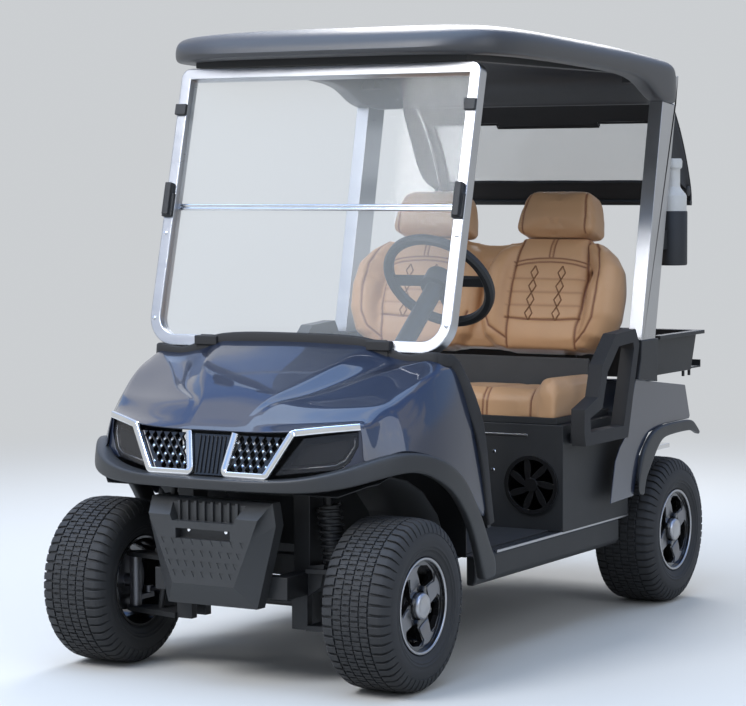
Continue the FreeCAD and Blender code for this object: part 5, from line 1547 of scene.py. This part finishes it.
    def make_board(self):
        """Board under the cushion, with the lugs and the pin of each hinge."""
        parts = [((HINGE_X + 0.0015, -0.462, 0.6205), (REAR + 0.716, 0.462, 0.640))]
        for side in (1, -1):
            for offset in (-0.016, 0.016):
                y = side * HINGE_Y + offset
                parts.append(((HINGE_X - 0.005, y - 0.0018, 0.630), (HINGE_X + 0.016, y + 0.0018, 0.7105)))
        board = put("cushion_board", blocks(parts), "dark", "seat_cushion", sharp=30)
        soften(board, 0.0012, 2)
        pin = ((-0.018, 0.0), (-0.018, 0.005), (0.018, 0.005), (0.018, 0.0))
        pins = [turned(pin, Vector((HINGE_X, side * HINGE_Y, HINGE_Z)), sides=20, close=False)
                for side in (1, -1)]
        put("cushion_pins", joined(*pins), "bright", "seat_cushion", sharp=30)


# Nose

GRILLE_LEAN = 0.27


def grille_face(y, z):
    """Where the grille's plane is forward of the front axle, in millimetres."""
    return 212 - GRILLE_LEAN * (z - 567)


def lamp_face(y, z):
    """Where a headlamp's plane is forward of the front axle, in millimetres."""
    return 196 - 0.48 * (y - 190) - 0.2 * (z - 572)


def cheek_face(y, z):
    """Where the painted cheek beside a headlamp is, in the same terms."""
    return 80 + 0.12 * (700 - z) + 0.45 * (392 - y)


def brow_face(y):
    """Where the bonnet's front edge is, in the same terms."""
    if y <= 316:
        return 181 - 50 * (y - 238) / 78
    return 131 - 55 * (y - 316) / 84


def nose_plate(outline, face, low, high):
    """A plate that follows one of the nose's planes, from one depth to another."""
    rows = [[ahead(face(y, z) + depth, y, z) for y, z in outline] for depth in (low, high)]
    return closed_grid(rows)


TRIM_PATH = ((394, 700), (316, 693), (247, 685), (181, 570), (51, 570), (73, 678))
TRIM_SECTION = ((-0.0095, -0.007), (0.0095, -0.007), (0.0095, 0.004), (-0.0095, 0.004))
TRIM_TURN = 250  # across, in millimetres: the trim is on the bonnet's edge outside of it

STUD = ((0.0042, -0.001), (0.0042, 0.001), (0.0014, 0.0032))  # radius, height
STUD_ROWS, STUD_PITCH, STUD_MARGIN = (574, 594, 614, 634, 653), 24, 13
SLATS, SLAT_PITCH = 7, 13

LAMP = ((197, 573), (258, 670), (386, 687), (389, 652), (372, 610), (350, 589))
LAMP_INNER = ((232, 598), (266, 651), (362, 664), (366, 644), (352, 616), (334, 607))
LAMP_GUIDE = ((214, 586), (338, 599), (360, 612), (379, 650), (378, 672))
CHEEK = ((386, 700), (401, 701), (404, 655), (407, 606), (392, 596), (352, 586), (351, 589),
         (373, 609), (391, 651), (389, 688))

TAIL_LAMP = ((390, 606), (480, 606), (480, 646), (390, 646))
TAIL_LAMP_MIDDLE = (0.435, 0.626)


class CART_OT_nose(bpy.types.Operator):
    """Grille studs, bright trim, headlamps and tail lamps."""
    bl_idname = "cart.nose"
    bl_label = "Nose"

    def execute(self, context):
        dress("grille", "lamp_black", 0.0008)
        self.make_trim()
        self.make_studs()
        self.make_headlamps()
        self.make_tail_lamps()
        return {"FINISHED"}

    def make_trim(self):
        path = []
        for spot in round_corners([(y, z, 0) for y, z in TRIM_PATH], (0, 0, 14, 15, 13, 0), 7):
            y, z = spot.x, spot.y
            face = brow_face(y) + 2 if y > TRIM_TURN else grille_face(y, z) + 1
            path.append(ahead(face, y, z))
        ribbon = sweep(path, rounded(TRIM_SECTION, (0.001, 0.001, 0.0035, 0.0035), 3), up=FORWARD)
        put("nose_trim", mirror_parts(ribbon), "bright", sharp=50,
            replaces=("grille_trim",), slot="bright_trim")

    def make_studs(self):
        """Bright studs between the grille's openings, and slats in its middle."""
        spots = []
        lean = Vector((1, 0, GRILLE_LEAN)).normalized()
        for row, z in enumerate(STUD_ROWS):
            inner = 50 + (z - 573) * 22 / 99 + STUD_MARGIN
            outer = 180 + (z - 573) * 64 / 109 - STUD_MARGIN
            start = inner + (STUD_PITCH / 2 if row % 2 else 0)
            for number in range(int((outer - start) / STUD_PITCH) + 1):
                y = start + number * STUD_PITCH
                spots += [(ahead(grille_face(y, z) - 7.5, side * y, z), lean) for side in (1, -1)]
        studs = scattered(stacked(STUD, 4), spots, "bright")
        put("grille_studs", studs, "bright", sharp=20, closed=False)
        slats = []
        for number in range(SLATS):
            y = (number - SLATS // 2) * SLAT_PITCH
            edge = ((y - 2.5, 572), (y + 2.5, 572), (y + 2.5, 668), (y - 2.5, 668))
            slats.append(nose_plate(edge, grille_face, -9, -3))
        soften(put("grille_slats", joined(*slats), "lamp_black", sharp=30), 0.001, 2)

    def make_headlamps(self):
        housing = put("headlamp_housing", mirror_parts(nose_plate(LAMP, lamp_face, -30, -8)), "lamp_black",
                      replaces=("lamps",), slot="lamp_lens")
        soften(housing, 0.003, 3)
        reflector = mirror_parts(nose_plate(LAMP_INNER, lamp_face, -10, -5))
        soften(put("headlamp_reflector", reflector, "guard"), 0.0015, 2)
        line = round_corners([(y, z, 0) for y, z in LAMP_GUIDE], (0, 14, 12, 14, 0), 4)
        guide = [ahead(lamp_face(spot.x, spot.y) - 6, spot.x, spot.y) for spot in line]
        put("headlamp_guide", mirror_parts(sweep(guide, circle(0.0022, 8), up=FORWARD)), "satin")
        lens = mirror_parts(nose_plate(LAMP, lamp_face, -3, -1))
        soften(put("headlamp_lens", lens, "lens"), 0.001, 2)
        cheek = mirror_parts(nose_plate(CHEEK, cheek_face, -6, 0))
        soften(put("nose_cheek", cheek, "paint"), 0.002, 2)

    def make_tail_lamps(self):
        """Plates on the tail's lean, drawn in towards their middle on the outside."""
        middle_y, middle_z = TAIL_LAMP_MIDDLE
        rows = []
        for out, shrink in ((0.0, 0.0), (0.011, 0.0), (0.014, 0.06)):
            row = []
            for y, z in TAIL_LAMP:
                tail = -(86 + (684 - z) * 40 / 102) / 1000
                across = y / 1000 + (middle_y - y / 1000) * shrink
                up = z / 1000 + (middle_z - z / 1000) * shrink
                row.append(Vector((REAR + tail - out, across, up)))
            rows.append(row)
        soften(put("tail_lamps", mirror_parts(closed_grid(rows)), "lamp_red"), 0.002, 3)


# Rain hood

HOOD_LINE = (
    # forward of the rear axle and up, from the roof to the hem bar
    (-8.3, 1664), (-52, 1637), (-96, 1606), (-133, 1573), (-166, 1534), (-203, 1480), (-236, 1420),
    (-263, 1360), (-284, 1300), (-288, 1253),
)
HOOD_HALF = 0.465
HOOD_COLUMNS = 56
SLACK, FOLD = 0.005, 0.0016
GUSSET_REAR = ((-8.3, 1658), (-90, 1602), (-160, 1531), (-231, 1418), (-279, 1300))
GUSSET_FRONT = ((-8.3, 1600), (-60, 1500), (-110, 1410), (-152, 1334), (-262, 1302))
GUSSET_COLUMNS = 6

WINDOW_LOW, WINDOW_HIGH, WINDOW_STEP = 1.330, 1.512, 1.524
WINDOW_HALF, WINDOW_NOTCH = 0.425, 0.185  # half widths of the window and of its lower middle
WINDOW_LOOP = (
    # across and up round the window
    (-WINDOW_HALF, WINDOW_STEP), (-WINDOW_NOTCH, WINDOW_STEP), (-WINDOW_NOTCH, WINDOW_HIGH),
    (0, WINDOW_HIGH), (WINDOW_NOTCH, WINDOW_HIGH), (WINDOW_NOTCH, WINDOW_STEP),
    (WINDOW_HALF, WINDOW_STEP), (WINDOW_HALF, 1.42), (WINDOW_HALF, WINDOW_LOW), (0.2, WINDOW_LOW),
    (0, WINDOW_LOW), (-0.2, WINDOW_LOW), (-WINDOW_HALF, WINDOW_LOW), (-WINDOW_HALF, 1.42),
)
HEM_STEP, HEM_WIDE = 0.02, 0.006
HEM_LIFT = 0.0014  # how far a hem stands forward of the cloth's middle


class CART_OT_hood(bpy.types.Operator):
    """Rain hood over the bags, with its clear window, gussets and hem bar."""
    bl_idname = "cart.hood"
    bl_label = "Rain hood"

    def execute(self, context):
        line = curve_through([behind(x, 0, z) for x, z in HOOD_LINE], 8)
        span = sum((b - a).length for a, b in zip(line, line[1:]))
        across = [(-1 + 2 * k / HOOD_COLUMNS) * HOOD_HALF for k in range(HOOD_COLUMNS + 1)]
        rows = [[self.sag(spot, y, index / len(line)) for y in across] for index, spot in enumerate(line)]
        verts, faces = grid(rows)
        cloth_faces, window_faces = [], []
        for face in faces:
            centre = sum((verts[index] for index in face), Vector()) / 4
            high = WINDOW_STEP if abs(centre.y) > WINDOW_NOTCH else WINDOW_HIGH
            clear = abs(centre.y) < WINDOW_HALF and WINDOW_LOW < centre.z < high
            (window_faces if clear else cloth_faces).append(face)
        hood = self.hang("rain_hood", verts, cloth_faces, "fabric", 0.0016,
                         replaces=("bag_hood",), slot="hood_fabric")
        self.hang("hood_window", verts, window_faces, "window", 0.0008)
        self.make_gussets()
        self.make_hems(line)
        self.make_bar()
        return {"FINISHED"}

    def hang(self, name, verts, faces, finish, thickness, **options):
        """A sheet through the points that some faces use, made solid."""
        kept = sorted({index for face in faces for index in face})
        number = {index: count for count, index in enumerate(kept)}
        used = [tuple(number[index] for index in face) for face in faces]
        mesh = mesh_from(name, [verts[index] for index in kept], used)
        sheet = put(name, mesh, finish, closed=False, **options)
        thicken(sheet, thickness)
        return settle(sheet)

    def sag(self, spot, y, share):
        """Slack between the roof and the bar, with shallow folds."""
        slack = SLACK * math.sin(math.pi * share) * (1 - (y / HOOD_HALF) ** 2)
        fold = FOLD * math.sin(26 * y + 5 * share) * math.sin(math.pi * share)
        return Vector((spot.x + slack + fold, y, spot.z - slack * 0.4))

    def make_gussets(self):
        rows = []
        for (rear_x, rear_z), (front_x, front_z) in zip(GUSSET_REAR, GUSSET_FRONT):
            row = []
            for k in range(GUSSET_COLUMNS + 1):
                share = k / GUSSET_COLUMNS
                x, z = rear_x + (front_x - rear_x) * share, rear_z + (front_z - rear_z) * share
                row.append(behind(x, 464.5 - 5 * math.sin(math.pi * share), z))
            rows.append(row)
        gussets = put("hood_gussets", mirror_parts(grid(rows)), "fabric", closed=False)
        subdivide(gussets, 1)
        thicken(gussets, 0.0016)

    def on_hood(self, line, y, z):
        """Where a hem lies on the hood at one height."""
        for a, b in zip(line, line[1:]):
            if a.z >= z >= b.z:
                share = (a.z - z) / max(a.z - b.z, 1e-9)
                return Vector((self.sag(a + (b - a) * share, y, 0.5).x + HEM_LIFT, y, z))

    def make_hems(self, line):
        """Folded hems round the window and along the sides."""
        path = []
        for (y0, z0), (y1, z1) in zip(WINDOW_LOOP, WINDOW_LOOP[1:] + WINDOW_LOOP[:1]):
            steps = max(2, int(max(abs(y1 - y0), abs(z1 - z0)) / HEM_STEP))
            path += [self.on_hood(line, y0 + (y1 - y0) * k / steps, z0 + (z1 - z0) * k / steps)
                     for k in range(steps)]
        hems = [sweep(path, circle(HEM_WIDE, 8, 0.0016), closed=True, up=(1, 0, 0.3))]
        for side in (1, -1):
            spots = [self.sag(spot, side * (HOOD_HALF - 0.004), index / len(line))
                     for index, spot in enumerate(line)]
            hems.append(sweep(spots, circle(HEM_WIDE, 8, 0.0025), up=LEFTWARD))
        put("hood_hems", joined(*hems), "fabric")

    def make_bar(self):
        """Hem bar across the hood's foot, and the disc at each end of its hinge."""
        pieces = [sweep([behind(-278, y, 1262) for y in (-466, 466)], circle(0.0088, 20))]
        disc = ((0.452, 0.0), (0.452, 0.0165), (0.4645, 0.0165), (0.4660, 0.014), (0.4660, 0.0))
        for side in (1, -1):
            profile = [(side * y, r) for y, r in disc]
            pieces.append(turned(profile, behind(-262, 0, 1300), sides=28, close=False))
        put("hood_bar", joined(*pieces), "dark", sharp=35)


# Fittings and fixings

def landed(node, start):
    """Where a ray that runs back first meets a frame node, and which way its surface faces."""
    return tree_of(frame["nodes"][node].data).ray_cast(Vector(start), -FORWARD)[:2]


BOLT_HEAD = ((0.0058, -0.002), (0.0058, 0.0022), (0.0048, 0.0034), (0.0024, 0.0038))  # radius, height
POD_BOLTS = ((0.215, 0.535), (0.262, 0.534), (0.258, 0.479), (0.236, 0.429))  # across, up
PILLAR_BOLTS = (0.948, 1.190)

HOLDER = (
    # up from its foot, radius
    (0.0, 0.0), (0.0, 0.0450), (0.003, 0.0475), (0.167, 0.0475), (0.170, 0.0455), (0.170, 0.0),
)
FLASK = (
    # up from the holder's foot, radius
    (0.168, 0.0), (0.168, 0.0448), (0.216, 0.0448), (0.221, 0.0430), (0.242, 0.0262), (0.248, 0.0240),
    (0.300, 0.0240), (0.306, 0.0300), (0.326, 0.0310), (0.334, 0.0270), (0.334, 0.0),
)

SHOCK_FOOT, SHOCK_HEAD = (0.2950, 0.1535), (0.2440, 0.5120)  # across, up
COIL_TURNS, COIL_STEPS = 9, 14
COIL_START, COIL_SPAN = 0.44, 0.47  # shares of the damper's length
COIL_RADIUS, COIL_WIRE = 0.031, 0.0045

CLIP_ACROSS, CLIP_UP = 0.280, 0.884


class CART_OT_details(bpy.types.Operator):
    """Bolts, bright sill strips, a painted highlight on the seat pod, front springs, the sand flask and
    windshield clips.
    """
    bl_idname = "cart.details"
    bl_label = "Details"

    def execute(self, context):
        self.make_bolts()
        self.make_strips_and_highlight()
        self.make_springs()
        self.make_flask()
        self.make_clips()
        return {"FINISHED"}

    def make_bolts(self):
        spots = []
        for side in (1, -1):
            spots += [landed("seat_pod", (0.3, side * y, z)) for y, z in POD_BOLTS]
            spots.append(landed("lower_front_panel", (FRONT + 0.5, side * 0.059, 0.418)))
            spots += [landed("windshield_frame", (FRONT + 0.3, side * 0.475, z)) for z in PILLAR_BOLTS]
        bolts = scattered(stacked(BOLT_HEAD, 12), spots, "bright")
        put("bolts", bolts, "bright", sharp=25, closed=False)

    def make_strips_and_highlight(self):
        """Bright strips along the sills, and a painted highlight along the edge of the seat pod's shelf."""
        strips = [mirror_parts(blocks([corners])) for corners in (
            ((-0.449, 0.4795, 0.2995), (0.440, 0.4866, 0.3072)),
            # painted highlight: a thin bright block on the edge of the seat pod's shelf
            ((0.0205, 0.200, 0.5830), (0.0246, 0.373, 0.5900)))]
        soften(put("bright_strips", joined(*strips), "satin"), 0.0012, 2)

    def make_springs(self):
        """A coil round each front damper."""
        coils = []
        for side in (1, -1):
            foot, head = (Vector((FRONT, side * y, z)) for y, z in (SHOCK_FOOT, SHOCK_HEAD))
            along = (head - foot).normalized()
            across = along.cross(FORWARD).normalized()
            path = []
            for step in range(COIL_TURNS * COIL_STEPS + 1):
                angle = 2 * math.pi * step / COIL_STEPS
                share = COIL_START + COIL_SPAN * step / (COIL_TURNS * COIL_STEPS)
                spoke = across * math.cos(angle) + FORWARD * math.sin(angle)
                path.append(foot + (head - foot) * share + spoke * COIL_RADIUS)
            coils.append(sweep(path, circle(COIL_WIRE, 8), up=along))
        put("front_springs", joined(*coils), "steel")

    def make_flask(self):
        foot = Vector((REAR + 0.024, 0.530, 1.069))
        holder = turned(HOLDER, foot, axis="z", sides=48, close=False)
        bracket = blocks([((REAR + 0.060, 0.512, 1.120), (REAR + 0.200, 0.535, 1.180))])
        put("flask_holder", joined(holder, bracket), "dark", sharp=35,
            replaces=("sand_bottle",), slot="bottle_plastic")
        put("flask", turned(FLASK, foot, axis="z", sides=48, close=False), "flask", sharp=35)

    def make_clips(self):
        """Rubber clips over the windshield's foot."""
        clips = []
        for side in (1, -1):
            y = side * CLIP_ACROSS
            place = landed("windshield_frame", (FRONT + 0.3, y, CLIP_UP))[0]
            x, z = place.x, place.z
            clips.append(blocks([
                ((x - 0.006, y - 0.037, z - 0.006), (x + 0.017, y + 0.037, z + 0.020)),
                ((x - 0.006, y - 0.029, z - 0.034), (x + 0.011, y + 0.029, z - 0.004))]))
        soften(put("windshield_clips", joined(*clips), "seal"), 0.003, 3)


# Carried-over nodes

FINISHES = {
    # material, width of the rounded edges, their segments where not 2
    "armrests": ("seal", 0.013, 4), "bag_cradle": ("steel", 0.002), "bag_platform": ("polished", 0.001),
    "basket": ("dark", 0.002), "battery_pack": ("dark", 0.003), "chassis_frame": ("steel", 0.002),
    "dashboard": ("dark", 0.006), "floor": ("dark", 0.002), "floor_mat": ("mat", 0.001),
    "front_suspension": ("dark", 0.0015), "lower_front_panel": ("guard", 0.003),
    "pedals": ("steel", 0.002), "pod_vents": ("wheel", 0.001), "rear_axle": ("steel", 0.002),
    "rear_struts": ("tube", 0.004), "roof_frame": ("steel", 0.002), "seat_back_frame": ("steel", 0.002),
    "seat_back_panel": ("panel", 0.002), "seat_pod": ("dark", 0.008, 3), "side_sills": ("dark", 0.009, 3),
    "steering_column": ("steel", 0.002), "strut_shoes": ("dark", 0.007, 3), "tie_rod": ("arm", 0.001),
    "windshield_bar": ("polished", 0.001), "windshield_fittings": ("dark", 0.002),
    "windshield_frame": ("tube", 0.003), "windshield_lower": ("pane", 0.0005),
    "windshield_upper": ("pane", 0.0005), "steering_wheel": ("dark", 0.006, 3),
    "knuckle_left": ("arm", 0.001), "knuckle_right": ("arm", 0.001), "pillar_trims": ("dark", 0.004),
}


class CART_OT_carried(bpy.types.Operator):
    """Dress the nodes whose shape comes straight from the frame."""
    bl_idname = "cart.carried"
    bl_label = "Carried pieces"

    def execute(self, context):
        for node, look in FINISHES.items():
            dress(node, *look)
        return {"FINISHED"}


# Stage


def plain_rays(tree):
    """1 for rays that show the backdrop: straight, mirrored or through glass."""
    ray = tree.tree.nodes.new("ShaderNodeLightPath")
    kinds = ("Is Camera Ray", "Is Glossy Ray", "Is Transmission Ray")
    straight_ray, glossy, through = (Link(tree, ray.outputs[kind]) for kind in kinds)
    return (straight_ray + glossy + through).clipped()


BACKDROP = (0.60, 0.62, 0.64)
FLOOR_HALF = 40
FADE_START, FADE_END = 2.2, 6.5  # from the middle, where the floor turns into the backdrop

LIGHTS = (
    # name, place, energy, size, colour
    ("key", (5.4, -1.6, 4.8), 290, 2.4, (1.0, 0.98, 0.95)),
    ("sky_panel", (1.6, -0.6, 6.5), 330, 7.0, (0.50, 0.70, 1.0)),
    ("fill", (2.6, 5.6, 3.4), 70, 3.5, (0.92, 0.96, 1.0)),
    ("rim", (-4.2, -1.6, 4.6), 200, 2.6, (1.0, 0.98, 0.95)),
)
AIM = (0.1, 0, 0.8)

SENSOR, FOCAL = 36, 123.4  # millimetres
CAMERA = (
    # rows of its matrix; its columns are the camera's right, up and back, and its place
    (-0.49811, -0.06103, 0.86496, 6.7589),
    (0.86711, -0.03065, 0.49718, 3.720),
    (-0.00383, 0.99767, 0.06819, 1.345),
    (0, 0, 0, 1),
)


class CART_OT_stage(bpy.types.Operator):
    """Floor, sky, lights and camera."""
    bl_idname = "cart.stage"
    bl_label = "Stage"

    def execute(self, context):
        self.make_floor()
        self.make_sky()
        self.make_lights()
        self.make_camera()
        context.scene.view_settings.view_transform = "Standard"
        return {"FINISHED"}

    def make_floor(self):
        """Pale floor that fades into the backdrop and keeps the cart's shadow."""
        finish = Finish("stage_floor")
        seen = plain_rays(finish)
        tone = finish.noise(1.5, 2.0)
        finish.set(
            Base_Color=finish.mix(seen, (0.34, 0.34, 0.33), (0.62, 0.63, 0.64)),
            Roughness=0.8 + tone * 0.1, Specular_IOR_Level=0.1)
        spot = finish.place()
        reach = finish.node("ShaderNodeVectorMath", {"operation": "LENGTH"}, (spot,), "Value")
        far = reach.between(FADE_START, FADE_END)
        glow = finish.node("ShaderNodeEmission", {}, {"Color": (*BACKDROP, 1.0), "Strength": 1.0})
        fade = finish.node("ShaderNodeMixShader", {}, (far, Link(finish, finish.shader.outputs[0]), glow))
        finish.feed(finish.tree.nodes["Material Output"].inputs[0], fade)
        corners = [(FLOOR_HALF * x, FLOOR_HALF * y, 0) for x, y in ((-1, -1), (1, -1), (1, 1), (-1, 1))]
        mesh = mesh_from("stage_floor", corners, [(0, 1, 2, 3)])
        obj = bpy.data.objects.new("stage_floor", mesh)
        mesh.materials.append(finish.material)
        bpy.context.collection.objects.link(obj)

    def make_sky(self):
        """Backdrop near the horizon, with sky and clouds above it for the paint to mirror."""
        world = bpy.data.worlds.new("sky")
        world.use_nodes = True
        sky = Tree(world.node_tree)
        where = sky.node("ShaderNodeTexCoord", {}, (), "Generated")
        height = sky.node("ShaderNodeSeparateXYZ", {}, (where,), "Z")
        clouds = sky.node("ShaderNodeTexNoise", {}, {"Vector": where, "Scale": 2.4, "Detail": 5.0}, "Fac")
        blue = sky.mix(height.between(0.2, 0.9), (0.42, 0.62, 1.0), (0.16, 0.36, 0.95))
        cloudy = sky.mix(clouds.between(0.50, 0.60), blue, (0.98, 0.98, 1.0))
        view = sky.mix(height.between(0.16, 0.34), BACKDROP, cloudy)
        seen = sky.node("ShaderNodeBackground", {}, {"Color": view, "Strength": 1.0})
        soft = sky.mix(height.between(-0.2, 0.3), (0.45, 0.45, 0.44), (0.84, 0.89, 0.96))
        light = sky.node("ShaderNodeBackground", {}, {"Color": soft, "Strength": 0.55})
        both = sky.node("ShaderNodeMixShader", {}, (plain_rays(sky), light, seen))
        sky.node("ShaderNodeOutputWorld", {}, (both,), None)
        bpy.context.scene.world = world

    def make_lights(self):
        for name, spot, energy, size, colour in LIGHTS:
            lamp = bpy.data.lights.new(name, "AREA")
            lamp.energy = energy
            lamp.size = size
            lamp.color = colour
            obj = bpy.data.objects.new(name, lamp)
            obj.location = spot
            obj.rotation_euler = (Vector(AIM) - Vector(spot)).to_track_quat("-Z", "Y").to_euler()
            bpy.context.collection.objects.link(obj)

    def make_camera(self):
        lens = bpy.data.cameras.new("camera")
        lens.sensor_width = SENSOR
        lens.lens = FOCAL
        lens.dof.use_dof = False
        lens.clip_end = 100
        obj = bpy.data.objects.new("camera", lens)
        obj.matrix_world = Matrix(CAMERA)
        bpy.context.collection.objects.link(obj)
        bpy.context.scene.camera = obj


OPERATORS = (
    CART_OT_stage, CART_OT_cowl, CART_OT_bumper, CART_OT_liners, CART_OT_nose, CART_OT_roof,
    CART_OT_rear_body, CART_OT_rear_flares, CART_OT_tyres, CART_OT_rims, CART_OT_seats, CART_OT_hood,
    CART_OT_details, CART_OT_carried,
)


class CART_PT_pieces(bpy.types.Panel):
    """Lists the settings and the operators of the cart."""
    bl_idname = "CART_PT_pieces"
    bl_label = "Golf cart"
    bl_space_type = "VIEW_3D"
    bl_region_type = "UI"
    bl_category = "Golf cart"

    def draw(self, context):
        for group in (context.scene.cart_paint, context.scene.cart_detail):
            box = self.layout.box()
            for key in group.__annotations__:
                box.prop(group, key)
        for operator in OPERATORS:
            self.layout.operator(operator.bl_idname)


def register():
    for entry in (CartPaint, CartDetail, *OPERATORS, CART_PT_pieces):
        bpy.utils.register_class(entry)
    bpy.types.Scene.cart_paint = bpy.props.PointerProperty(type=CartPaint)
    bpy.types.Scene.cart_detail = bpy.props.PointerProperty(type=CartDetail)


def unregister():
    del bpy.types.Scene.cart_paint
    del bpy.types.Scene.cart_detail
    for entry in (CART_PT_pieces, *reversed(OPERATORS), CartDetail, CartPaint):
        bpy.utils.unregister_class(entry)


def main():
    register()
    make_materials()
    for operator in OPERATORS:
        group, name = operator.bl_idname.split(".")
        getattr(getattr(bpy.ops, group), name)()


if __name__ == "__main__":
    main()
